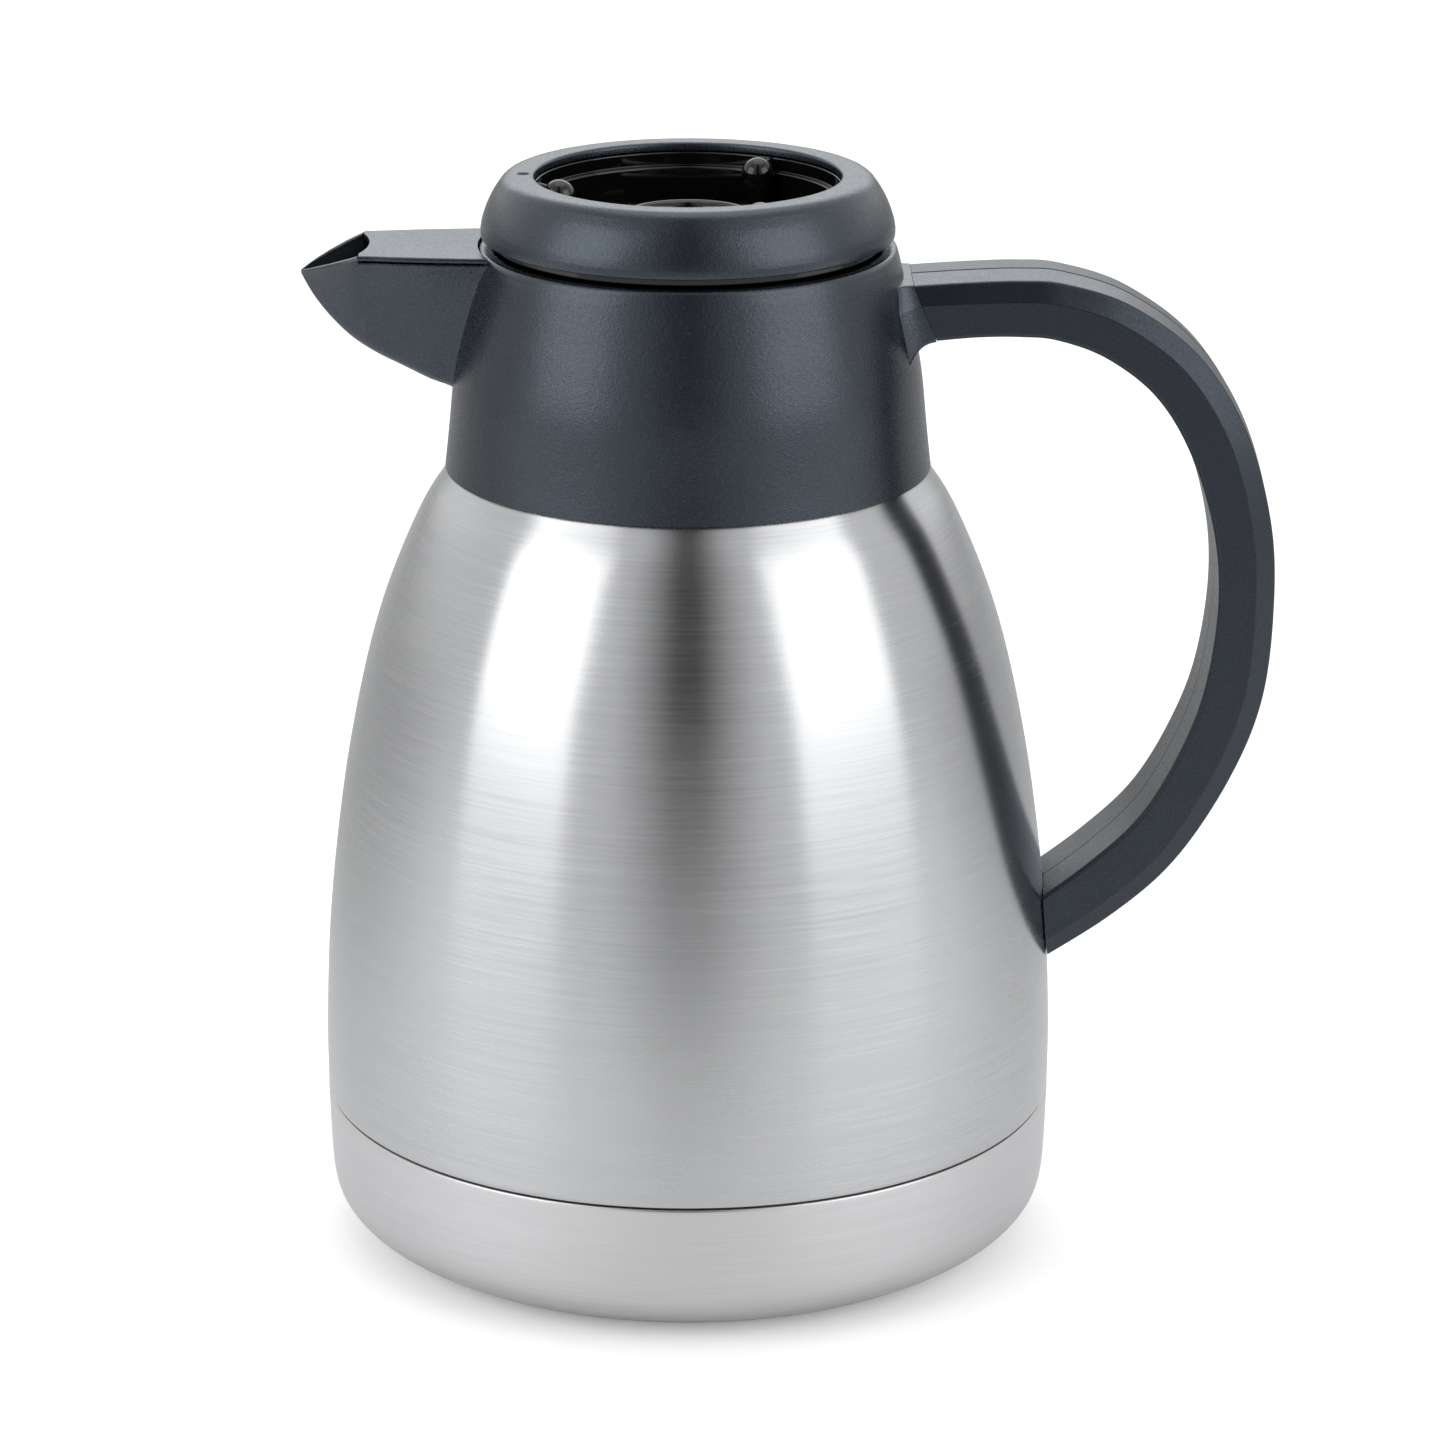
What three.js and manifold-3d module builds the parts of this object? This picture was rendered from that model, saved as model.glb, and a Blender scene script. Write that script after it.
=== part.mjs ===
// Vacuum coffee pot with a brew-through screw lid.
// Millimetres, +Z up. The origin is the centre of the underside, on the body's axis.
// The spout points along -X and the handle along +X.

import * as THREE from 'three';
import { mergeVertices } from 'three/addons/utils/BufferGeometryUtils.js';
import Module from 'manifold-3d';

const wasm = await Module();
wasm.setup();

// ---------------------------------------------------------------- driving dimensions

const GAP = 0.3;            // free space kept between neighbouring pieces
const STEEL = 0.8;          // sheet thickness of the vessel
const ROUND = 36;           // facets round the large turned pieces
const FINE = 20;            // facets round the small turned pieces

const BODY_R = 76;          // largest radius of the steel body
const SEAM_Z = 30.5;        // weld seam between shell and base cup
const SEAM_GAP = 0.4;
const VACUUM = 4;           // space between shell and liner

const NECK_R = 38.2;        // outside of the steel neck
const MOUTH_R = 34;         // inside of the steel mouth
const MOUTH_Z = 187;        // top of the rolled lip

const COLLAR_TOP = 209.4;

const BAND_R = 39.3;        // glossy band between collar and lid cap
const CAP_TOP = 224;
const BOWL_R = 31;          // opening in the cap
const POST_R = 26;          // pitch radius of the three posts
const TUBE_R = 12.6;        // outside of the brew tube
const TUBE_BORE = 11;

const HANDLE_HALF = 12;     // half the handle's width
const FACE_HALF = 10;       // half the width of its outer face
const BEVEL = 4;
const HANDLE_WALL = 2.5;
const SCREW_R = 1.4;        // shank of the handle and lid screws
const HEAD_R = 2.8;
const TAB_HALF = 1.6;       // half the thickness of the tabs between the handle halves

// ---------------------------------------------------------------- materials

const finish = (color, roughness, metalness) =>
  new THREE.MeshStandardMaterial({ color, roughness, metalness });

const BRUSHED = () => finish(0xc8cbce, 0.32, 1);
const STEEL_PLAIN = () => finish(0xb4b7ba, 0.4, 1);
const MATTE = () => finish(0x2b3038, 0.62, 0);
const GLOSS = () => finish(0x0b0c0e, 0.12, 0);
const SILICONE = () => finish(0x9a9c9b, 0.6, 0);

// ---------------------------------------------------------------- geometry helpers

// Joins shared corners, drops triangles that have collapsed, and turns the faces outward.
function weld(geometry) {
  const bare = geometry.clone();
  for (const name of Object.keys(bare.attributes)) {
    if (name !== 'position') bare.deleteAttribute(name);
  }
  const merged = mergeVertices(bare, 1e-4);
  const at = merged.attributes.position;
  const corner = (i) => new THREE.Vector3().fromBufferAttribute(at, i);
  const kept = [];
  let volume = 0;
  for (let i = 0; i < merged.index.count; i += 3) {
    const [a, b, c] = [0, 1, 2].map((k) => merged.index.getX(i + k));
    if (a === b || b === c || c === a) continue;
    kept.push([a, b, c]);
    volume += corner(a).dot(corner(b).cross(corner(c)));
  }
  merged.setIndex(kept.flatMap(([a, b, c]) => (volume < 0 ? [a, c, b] : [a, b, c])));
  return merged;
}

// A three.js geometry as a manifold solid, and back.
function solid(geometry) {
  const closed = weld(geometry);
  return new wasm.Manifold(new wasm.Mesh({
    numProp: 3,
    vertProperties: new Float32Array(closed.attributes.position.array),
    triVerts: new Uint32Array(closed.index.array),
  }));
}

function surface(body) {
  const { vertProperties, triVerts } = body.getMesh();
  const geometry = new THREE.BufferGeometry();
  geometry.setAttribute('position', new THREE.BufferAttribute(vertProperties, 3));
  geometry.setIndex(new THREE.BufferAttribute(triVerts, 1));
  return geometry;
}

const join = (first, ...rest) => rest.reduce((sum, next) => sum.add(next), first);
const cut = (first, ...rest) => rest.reduce((left, next) => left.subtract(next), first);

// A closed outline of [radius, height] points turned about the Z axis.
function turned(outline, facets = ROUND) {
  const points = [...outline, outline[0]].map(([r, z]) => new THREE.Vector2(r, z));
  return weld(new THREE.LatheGeometry(points, facets).rotateX(Math.PI / 2));
}

// The same, moved to stand at x, y.
const turnedAt = (outline, x, y, facets = FINE) => turned(outline, facets).translate(x, y, 0);

// A round bar along Z, or along Y, from one level to another.
const barZ = (r, x, y, low, high, facets = FINE) =>
  turnedAt([[0, low], [r, low], [r, high], [0, high]], x, y, facets);
const barY = (r, x, z, low, high, facets = 12) =>
  turned([[0, low], [r, low], [r, high], [0, high]], facets)
    .rotateX(-Math.PI / 2).translate(x, 0, z);

// A box given by its low and high corners.
function block([x0, y0, z0], [x1, y1, z1]) {
  return new THREE.BoxGeometry(x1 - x0, y1 - y0, z1 - z0)
    .translate((x0 + x1) / 2, (y0 + y1) / 2, (z0 + z1) / 2);
}

// An outline in the XZ plane given a thickness along Y, from -half to +half.
function plateXZ(outline, half) {
  const shape = new THREE.Shape(outline.map(([x, z]) => new THREE.Vector2(x, z)));
  return new THREE.ExtrudeGeometry(shape, { depth: 2 * half, bevelEnabled: false })
    .rotateX(Math.PI / 2).translate(0, half, 0);
}

// An outline in the XY plane given a thickness along Z.
function plateXY(outline, low, high) {
  const shape = new THREE.Shape(outline.map(([x, y]) => new THREE.Vector2(x, y)));
  return new THREE.ExtrudeGeometry(shape, { depth: high - low, bevelEnabled: false })
    .translate(0, 0, low);
}

// A skin over a row of sections. Every section has the same number of [u, v] corners, and
// place(u, v, step) puts a corner of that section in space. Both ends are closed.
function lofted(sections, place) {
  const corners = sections[0].length;
  const positions = sections.flatMap((section, step) =>
    section.flatMap(([u, v]) => place(u, v, step).toArray()));
  const index = [];
  for (let s = 0; s + 1 < sections.length; s += 1) {
    for (let i = 0; i < corners; i += 1) {
      const a = s * corners + i;
      const b = s * corners + (i + 1) % corners;
      index.push(a, b, a + corners, b, b + corners, a + corners);
    }
  }
  const lid = (section, start, reversed) => {
    const outline = section.map(([u, v]) => new THREE.Vector2(u, v));
    const area = THREE.ShapeUtils.area(outline);
    for (const face of THREE.ShapeUtils.triangulateShape(outline, [])) {
      const forward = THREE.ShapeUtils.area(face.map((i) => outline[i])) * area > 0;
      const order = forward === reversed ? [...face].reverse() : face;
      index.push(...order.map((i) => start + i));
    }
  };
  lid(sections[0], 0, true);
  lid(sections.at(-1), (sections.length - 1) * corners, false);
  const geometry = new THREE.BufferGeometry();
  geometry.setAttribute('position', new THREE.Float32BufferAttribute(positions, 3));
  geometry.setIndex(index);
  return weld(geometry);
}

const polar = (r, degrees) => {
  const a = THREE.MathUtils.degToRad(degrees);
  return [r * Math.cos(a), r * Math.sin(a)];
};

// A curve through [a, b] points, and `steps` + 1 points along it.
const through = (points) =>
  new THREE.CatmullRomCurve3(points.map(([a, b]) => new THREE.Vector3(a, b, 0)), false, 'catmullrom');
const along = (points, steps) =>
  through(points).getPoints(steps).map((p) => [p.x, p.y]);

const pot = new THREE.Group();
pot.name = 'coffee_pot';

function add(name, shape, material) {
  const geometry = shape.isBufferGeometry ? shape : surface(shape);
  const mesh = new THREE.Mesh(geometry, material);
  mesh.name = name;
  pot.add(mesh);
}

// ---------------------------------------------------------------- steel vessel

// Outside of the body, [radius, height], from the seam up to the straight neck.
const bodyCurve = [
  [BODY_R, SEAM_Z], [BODY_R, 45], [75.1, 65], [73.1, 85], [70.1, 105], [65.8, 125],
  [61.1, 140], [54.6, 155], [48.9, 163.8], [43.2, 172], [39.6, 178], [NECK_R, 182],
];
const SHELL_STEPS = 12;
const NECK_TOP = MOUTH_Z - STEEL - GAP;

// The body's skin moved inward by a distance, from the seam up.
const bodyInset = (inset, steps = SHELL_STEPS) =>
  along(bodyCurve, steps).map(([r, z]) => [r - inset, z]);

function outerShell() {
  const outside = [...bodyInset(0), [NECK_R, NECK_TOP]];
  const inside = [...bodyInset(STEEL, 8), [NECK_R - STEEL, NECK_TOP]];
  outside[0] = [BODY_R, SEAM_Z + SEAM_GAP / 2];
  inside[0] = [BODY_R - STEEL, SEAM_Z + SEAM_GAP / 2];
  return turned([...outside, ...inside.reverse()]);
}

const DISC_R = 24.2;        // cover plate over the evacuation hole
const CUP_TOP = SEAM_Z - SEAM_GAP / 2;

// Cup with a foot ring, a pressed groove and a well for the cover plate.
function baseCup() {
  return turned([
    [0, 1.6], [DISC_R + 0.4, 1.6], [DISC_R + 0.4, 0], [41, 0], [43, 2.4], [53, 2.4],
    [55, 0], [61.6, 0], [66.9, 2.5], [70.3, 4.2], [72.8, 6.4], [74.6, 9], [75.3, 12.5],
    [75.7, 20], [BODY_R, CUP_TOP],
    [BODY_R - STEEL, CUP_TOP], [74.8, 20], [74.4, 12.7], [72.2, 7.6], [66.5, 3.4],
    [61.3, 0.9], [55.4, 0.9], [53.4, 3.2], [42.6, 3.2], [40.6, 0.9], [25.5, 0.9],
    [25.5, 2.4], [0, 2.4],
  ]);
}

const baseDisc = () => turned([[0, 0], [DISC_R, 0], [DISC_R, 1.3], [0, 1.3]]);

const LINER_FLOOR = 8;

// Second wall: follows the shell, closes at the bottom and rolls outward at the mouth.
function innerLiner() {
  const outward = STEEL + VACUUM;
  const floorCurve = [[0, LINER_FLOOR], [56, LINER_FLOOR], [65, 11], [70, 20.5]];
  const neckOut = MOUTH_R + STEEL;
  const wall = (inset, steps) => bodyInset(inset, steps)
    .map(([r, z]) => [Math.max(r, neckOut + outward - inset), z]);
  const outside = [...floorCurve, ...wall(outward, 8), [neckOut, MOUTH_Z - STEEL],
    [NECK_R, MOUTH_Z - STEEL], [NECK_R, MOUTH_Z]];
  const inside = [[MOUTH_R, MOUTH_Z], ...wall(outward + STEEL, 8).reverse(),
    ...floorCurve.reverse().map(([r, z]) => [Math.max(r - STEEL, 0), z + STEEL])];
  return turned([...outside, ...inside]);
}

const getterPad = () => turned([[0, 6.3], [9, 6.3], [9, 7.6], [0, 7.6]], FINE);

add('outer_shell', outerShell(), BRUSHED());
add('base_cup', baseCup(), STEEL_PLAIN());
add('base_disc', baseDisc(), STEEL_PLAIN());
add('inner_liner', innerLiner(), STEEL_PLAIN());
add('getter_pad', getterPad(), STEEL_PLAIN());

// ---------------------------------------------------------------- collar, spout and handle root

// Outside of the collar, [radius, height], from its bottom edge to its top edge.
const collarSide = [
  [49.65, 164], [49.1, 168.7], [48.6, 173.5], [47.6, 183.4], [46.1, 191.8], [44.7, 198.5],
  [43.2, 205.6], [42.5, 208.6], [41.8, COLLAR_TOP],
];
const LIP_R = 39.7;         // inside of the collar's top lip
const LIP_DEPTH = 1.7;

// Inside of the collar, from the slanted bottom edge up to the lip.
const collarBore = [
  [49.3, 164.1], [47.2, 167.4], [46.4, 172], [45.2, 183.4], [43.7, 191.8], [42.5, 198.5],
  [41.5, 203.5], [41.5, COLLAR_TOP - LIP_DEPTH], [LIP_R, COLLAR_TOP - LIP_DEPTH],
  [LIP_R, COLLAR_TOP],
];

// Spout: half its width, the height of its keel and of its side walls, at each distance out.
const WALL_TOP = 208.4;
const TIP_Z = 204.2;
const PLATE_HIGH = 209.7;   // top of the cover plate
const PLATE_END = 66;       // its free end
const spoutStations = [
  { x: 36, half: 15, keel: 176, top: WALL_TOP },
  { x: 47.8, half: 14.1, keel: 179.4, top: WALL_TOP },
  { x: 58.1, half: 13.3, keel: 184.4, top: WALL_TOP },
  { x: PLATE_END + GAP, half: 12.6, keel: 188.7, top: WALL_TOP },
  { x: PLATE_END + 2 * GAP, half: 12.5, keel: 188.9, top: PLATE_HIGH },
  { x: 69.5, half: 10.8, keel: 191.4, top: 208.2 },
  { x: 72.9, half: 8, keel: 195.1, top: 206.7 },
  { x: 75.6, half: 5, keel: 198.6, top: 205.5 },
  { x: 77.3, half: 2.6, keel: 201.5, top: 204.7 },
  { x: 78.4, half: 0.9, keel: 203.6, top: TIP_Z },
];
const KEEL_FLAT = 0.2;      // share of the half width left at the keel
const SPOUT_WALL = 2;
const CHANNEL_FLOOR = 190.4;

// Share of the half width at a share h of the height above the keel.
const flank = (h) => KEEL_FLAT + 0.6 * h + 0.2 * h ** 4;

// V-shaped section: up one flank from the keel and down the other.
function spoutSection(half, low, high) {
  const side = [0, 0.2, 0.45, 0.75, 1].map((h) => [half * flank(h), low + h * (high - low)]);
  return [...side, ...side.map(([y, z]) => [-y, z]).reverse()];
}

const acrossSpout = (stations) => (y, z, step) => new THREE.Vector3(-stations[step].x, y, z);

function spoutBody() {
  const sections = spoutStations.map(({ half, keel, top }) => spoutSection(half, keel, top));
  return lofted(sections, acrossSpout(spoutStations));
}

// The open channel: the same shape less the wall, with a level floor near the neck.
function spoutChannel() {
  const stations = spoutStations.slice(0, -2);
  const sections = stations.map(({ half, keel, top }) => {
    const low = Math.max(CHANNEL_FLOOR, keel + SPOUT_WALL + 0.6);
    const level = (low - keel) / (top - keel);
    const side = [0, 0.3, 0.6, 1].map((share) => {
      const h = level + share * (1 - level);
      return [half * flank(h) - SPOUT_WALL, keel + h * (top - keel)];
    });
    side.push([side.at(-1)[0], top + 3]);
    return [...side, ...side.map(([y, z]) => [-y, z]).reverse()];
  });
  return lofted(sections, acrossSpout(stations));
}

// Handle root: a flared stub with the handle's own section at its outer end.
const ROOT_X = 50;
const ARM_TOP = 203.3;
const ARM_BOTTOM = 192.2;
const rootStations = [
  { x: 34, half: 17, low: 180 }, { x: 44.2, half: 16.6, low: 182.5 },
  { x: 46.2, half: 13.9, low: 187.2 }, { x: 48, half: 12.5, low: 190.6 },
  { x: ROOT_X, half: HANDLE_HALF, low: ARM_BOTTOM },
];

function handleRoot() {
  const sections = rootStations.map(({ half, low }) => [
    [-half, low], [half, low], [half, ARM_TOP - BEVEL], [half - 2, ARM_TOP],
    [2 - half, ARM_TOP], [-half, ARM_TOP - BEVEL],
  ]);
  return lofted(sections, (y, z, step) => new THREE.Vector3(rootStations[step].x, y, z));
}

// The places of the three handle screws, [x, z].
const upperScrew = [56, 198];
const middleScrew = [113.4, 136];
const lowerScrew = [81.5, 72.6];

// Tab of the collar that the two handle halves close on.
function rootTab() {
  const tab = block([ROOT_X - 3, -TAB_HALF, 195.3], [61, TAB_HALF, 200.6]);
  const hole = barY(SCREW_R + GAP, ...upperScrew, -TAB_HALF - 1, TAB_HALF + 1);
  return cut(solid(tab), solid(hole));
}

function collar() {
  const filled = solid(turned([[0, 164.2], ...collarSide, [0, COLLAR_TOP]]));
  const bore = solid(turned([[0, 150], [60, 150], ...collarBore,
    [LIP_R, COLLAR_TOP + 5], [0, COLLAR_TOP + 5]]));
  const outside = join(filled, solid(spoutBody()), solid(handleRoot()));
  return join(cut(outside, bore, solid(spoutChannel())), rootTab());
}

const PLATE_LOW = WALL_TOP + GAP;

// Cover plate: lies on the side walls, with a tongue between them. Its free end is hollowed
// in an arc, and its other end follows the collar.
function spoutCover() {
  const outline = (inset, end) => [
    [-36, 15 - inset], [-47.8, 14.1 - inset], [-end, 12.6 - inset],
    [-end + 1, 8], [-end + 1.6, 0], [-end + 1, -8],
    [-end, inset - 12.6], [-47.8, inset - 14.1], [-36, inset - 15],
  ];
  const cover = solid(plateXY(outline(0, PLATE_END), PLATE_LOW, PLATE_HIGH));
  const tongue = solid(plateXY(outline(SPOUT_WALL + 1.3, PLATE_END - 1), PLATE_LOW - 1.4, PLATE_LOW));
  const clearance = turned([[0, 200], ...collarSide.slice(-4).map(([r, z]) => [r + GAP, z]),
    [42, PLATE_HIGH + 1], [0, PLATE_HIGH + 1]]);
  return cut(join(cover, tongue), solid(clearance));
}

add('collar', collar(), MATTE());
add('spout_cover', spoutCover(), MATTE());

// ---------------------------------------------------------------- neck ring and gasket

const RING_BORE = 39.4;
const SHELF_BORE = 36.6;
const SHELF_Z = 188.6;
const SHELF_TOP = CHANNEL_FLOOR - 0.2;
const RING_TOP = COLLAR_TOP - LIP_DEPTH - GAP;

const THREAD_PITCH = 8;     // rise in one turn of the three-start thread
const FEMALE_CREST = 38.7;
const MALE_CREST = 38.3;

// A stretch of screw thread: a ridge from a root radius to a crest radius.
function ridge(rootR, crestR, startDegrees, sweepDegrees, lowZ) {
  const steps = Math.round(sweepDegrees / 9);
  const sections = Array.from({ length: steps + 1 }, () => [
    [rootR, -1.2], [crestR, -0.5], [crestR, 0.5], [rootR, 1.2],
  ]);
  return solid(lofted(sections, (r, z, step) => {
    const turn = (sweepDegrees * step) / steps;
    return new THREE.Vector3(...polar(r, startDegrees + turn), lowZ + z + (THREAD_PITCH * turn) / 360);
  }));
}

function neckRing() {
  const ring = solid(turned([
    [NECK_R + GAP, 182.6], [40.8, 182.6], [41.2, 190], [41.2, RING_TOP], [RING_BORE, RING_TOP],
    [RING_BORE, SHELF_TOP], [SHELF_BORE, SHELF_TOP], [SHELF_BORE, SHELF_Z], [NECK_R + GAP, SHELF_Z],
  ]));
  const threads = [210, 330, 90].map((start) =>
    ridge(RING_BORE + 0.5, FEMALE_CREST, start, 63, 199));
  const port = block([-50, -9, SHELF_TOP], [-30, 9, 206]);
  return join(cut(ring, solid(port)), ...threads);
}

const neckGasket = () => turned([[36.9, 187.3], [38.2, 187.3], [38.2, 188.3], [36.9, 188.3]]);

add('neck_ring', neckRing(), GLOSS());
add('neck_gasket', neckGasket(), SILICONE());

// ---------------------------------------------------------------- handle

// Edges of the handle's outer and inner faces, [x, z], from the collar to the lower end.
// The two lists run side by side, so that a pair of points spans one section.
const outerEdge = [
  [ROOT_X + GAP, ARM_TOP], [67, 204.2], [76, 203.5], [89.2, 199.1], [103.1, 188.8],
  [113.1, 173.2], [118.7, 154], [119.9, 136], [118.1, 116], [111.8, 98.6], [101.1, 81.2],
  [88.1, 69], [70, 56.9],
];
const innerEdge = [
  [ROOT_X + GAP, ARM_BOTTOM], [67, 193], [74.5, 192.2], [84.5, 188.4], [94.6, 180.4],
  [101.9, 168.4], [106.9, 152.5], [108.3, 137], [106.1, 119.1], [101.2, 105], [93.5, 91.5],
  [82.9, 81], [70.2, 71.2],
];
const HANDLE_STEPS = 24;
const CROWN = 0.4;

// One half of the handle: a channel with its open side on the seam.
// side is +1 for the half at +Y and -1 for the half at -Y.
function handleHalf(side) {
  const outer = through(outerEdge).getPoints(HANDLE_STEPS);
  const inner = through(innerEdge).getPoints(HANDLE_STEPS);
  const seam = GAP / 2;
  const cavity = HANDLE_HALF - HANDLE_WALL;
  const sections = outer.map((point, step) => {
    const thick = point.distanceTo(inner[step]);
    return [
      [0, seam], [0, HANDLE_HALF - 0.8], [0.8, HANDLE_HALF], [thick - BEVEL, HANDLE_HALF],
      [thick, FACE_HALF], [thick + CROWN, seam], [thick - HANDLE_WALL, seam],
      [thick - HANDLE_WALL, cavity - 1.5], [thick - HANDLE_WALL - 1.5, cavity],
      [HANDLE_WALL, cavity], [HANDLE_WALL, seam],
    ];
  });
  const place = (a, y, step) => {
    const outward = outer[step].clone().sub(inner[step]).normalize();
    const at = inner[step].clone().addScaledVector(outward, a);
    return new THREE.Vector3(at.x, side * y, at.y);
  };
  return solid(lofted(sections, place));
}

const BOSS_R = 3.1;
const RECESS_FLOOR = 9.7;   // the screw heads sit on this level of the +Y half

// A bar along Y between two distances from the seam, on one side of it.
const barFromSeam = (side, r, x, z, near, far) =>
  solid(barY(r, x, z, ...(side > 0 ? [near, far] : [-far, -near])));

// Space that the handle leaves free for the steel body.
const bodySpace = () => solid(turned([
  [0, 20], [BODY_R, 20], ...along(bodyCurve, SHELL_STEPS).map(([r, z]) => [r + GAP, z]), [0, 182],
]));

function handlePiece(side) {
  let half = handleHalf(side);
  for (const [x, z] of [upperScrew, middleScrew, lowerScrew]) {
    const foot = x === middleScrew[0] ? GAP / 2 : TAB_HALF + GAP;
    half = join(half, barFromSeam(side, BOSS_R, x, z, foot, HANDLE_HALF - 1));
  }
  for (const [x, z] of [upperScrew, middleScrew, lowerScrew]) {
    const depth = side > 0 ? HANDLE_HALF + 1 : 9.3;
    half = cut(half, barFromSeam(side, SCREW_R + GAP, x, z, -1, depth));
    if (side > 0) {
      half = cut(half, barFromSeam(side, HEAD_R + GAP, x, z, RECESS_FLOOR, HANDLE_HALF + 1));
    }
  }
  return cut(half, bodySpace());
}

// Pan-head screw along Y, its head on the +Y side.
function handleScrew([x, z]) {
  const profile = [
    [0, -9], [SCREW_R, -9], [SCREW_R, RECESS_FLOOR + GAP], [HEAD_R, RECESS_FLOOR + GAP],
    [HEAD_R, 11.2], [HEAD_R - 0.7, 11.8], [0, 11.8],
  ];
  return turned(profile, 12).rotateX(-Math.PI / 2).translate(x, 0, z);
}

// Steel bracket spot-welded to the shell: a foot against the body and a tab in the handle.
function handleBracket() {
  const foot = block([75.9, -6, 66.2], [76.9, 6, 72.2]);
  const tab = plateXZ([[76.4, 66.6], [78.3, 66.6], [86, 72.2], [83.6, 77], [78, 73], [76.4, 71.8]],
    TAB_HALF);
  const hole = barY(SCREW_R + GAP, ...lowerScrew, -TAB_HALF - 1, TAB_HALF + 1);
  return cut(join(solid(foot), solid(tab)), solid(hole));
}

add('handle_half_left', handlePiece(-1), MATTE());
add('handle_half_right', handlePiece(1), MATTE());
add('handle_bracket', handleBracket(), STEEL_PLAIN());
add('handle_screw_upper', handleScrew(upperScrew), STEEL_PLAIN());
add('handle_screw_middle', handleScrew(middleScrew), STEEL_PLAIN());
add('handle_screw_lower', handleScrew(lowerScrew), STEEL_PLAIN());

// ---------------------------------------------------------------- lid

const CAP_LOW = 212.2;
const BAND_LOW = COLLAR_TOP + 0.4;

// Matte cap: a tapering ring, open underneath, with a small dimple towards the spout.
function lidCap() {
  const ring = turned([
    [41.2, CAP_LOW], [41.8, CAP_LOW + 0.3], [41.9, 213.8], [41.4, 215.6], [40.5, 218],
    [39.2, 220.6], [37.7, 222.8], [36.7, 223.6], [35.7, CAP_TOP], [31.6, CAP_TOP],
    [BOWL_R, CAP_TOP - 0.5], [BOWL_R, 222.4], [35.2, 222], [37.4, 219.4], [39.4, 215.4],
    [39.8, CAP_LOW],
  ]);
  const dimple = new THREE.SphereGeometry(1.6, 12, 8).translate(-33.2, 0, CAP_TOP + 0.9);
  return cut(solid(ring), solid(dimple));
}

const FLOOR_Z = 208;        // floor of the bowl
const LEDGE_Z = 219.4;
const postAzimuths = [180, 60, -60];

// One post: a screw boss from below that ends in a round head above the bowl's floor, with a
// web to the wall.
function post(azimuth) {
  const [x, y] = polar(POST_R, azimuth);
  const shaft = turnedAt([
    [0, 176.7], [2.9, 176.7], [2.9, 206.4], [2.5, FLOOR_Z], [2.5, 218.4], [3.1, 218.8],
    [3.1, 220.2], [2.75, 221.4], [1.8, 222.2], [0, 222.6],
  ], x, y, 14);
  const web = block([POST_R, -0.7, 205], [BOWL_R, 0.7, 222.2])
    .rotateZ(THREE.MathUtils.degToRad(azimuth));
  return join(solid(shaft), solid(web));
}

function lidBowl() {
  const bowl = solid(turned([
    [13.2, FLOOR_Z - 2], [31.2, FLOOR_Z - 2], [31.2, LEDGE_Z - 1], [32.4, 220.4], [34.6, 220.4],
    [34.6, 221.6], [32, 222], [30.7, 222], [30.7, LEDGE_Z], [29.4, LEDGE_Z - 0.4],
    [28.9, 210], [27.5, FLOOR_Z], [13.2, FLOOR_Z],
  ]));
  const holes = postAzimuths.map((azimuth) =>
    solid(barZ(SCREW_R + GAP, ...polar(POST_R, azimuth), 170, 190, 12)));
  return cut(join(bowl, ...postAzimuths.map(post)), ...holes);
}

const PLUG_R = 31.6;
const PLUG_LOW = 176.6;
const WALL_R = 36.8;
const RIB_R = 33.4;

// Stopper: plug with centring ribs, flange over the seal, threaded wall and the glossy band.
function stopper() {
  const wall = solid(turned([
    [PLUG_R - 2, PLUG_LOW], [PLUG_R, PLUG_LOW], [PLUG_R, 190.3], [36.1, 190.3], [36.1, 192],
    [WALL_R, 192.6], [WALL_R, BAND_LOW], [BAND_R, BAND_LOW], [BAND_R, 213.8],
    [WALL_R - 2, 213.8], [WALL_R - 2, 193], [PLUG_R + 1.8, 192.4], [PLUG_R - 2, 192.4],
  ]));
  const ribs = [0, 60, 120, 180, 240, 300].map((azimuth) =>
    solid(block([PLUG_R - 1, -0.9, PLUG_LOW + 1], [RIB_R, 0.9, 186])
      .rotateZ(THREE.MathUtils.degToRad(azimuth + 30))));
  const threads = [225, 345, 105].map((start) =>
    ridge(WALL_R - 0.5, MALE_CREST, start, 63, 195.6));
  return join(wall, ...ribs, ...threads);
}

const sealRing = () => turned([
  [PLUG_R + GAP, 187.4], [35.4, 187.4], [36.1, 188.2], [36.1, 189.2], [35.6, 190],
  [PLUG_R + GAP, 190],
]);

const BASE_TOP = PLUG_LOW - GAP;
const BASE_LOW = 174;

// Plate that closes the stopper from below, held by the three lid screws.
function stopperBase() {
  const plate = solid(turned([
    [TUBE_R + 0.7, BASE_LOW], [PLUG_R - 1, BASE_LOW], [PLUG_R, BASE_LOW + 1], [PLUG_R, BASE_TOP],
    [TUBE_R + 0.7, BASE_TOP],
  ]));
  const holes = postAzimuths.map((azimuth) =>
    solid(barZ(SCREW_R + GAP, ...polar(POST_R, azimuth), 170, 180, 12)));
  return cut(plate, ...holes);
}

function lidScrew(azimuth) {
  const top = BASE_LOW - GAP;
  return turnedAt([
    [0, top - 1.7], [HEAD_R - 0.6, top - 1.7], [HEAD_R, top - 1.1], [HEAD_R, top],
    [SCREW_R, top], [SCREW_R, 188], [0, 188],
  ], ...polar(POST_R, azimuth), 12);
}

const TUBE_LOW = 171;
const LIP_Z = 217;

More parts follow.
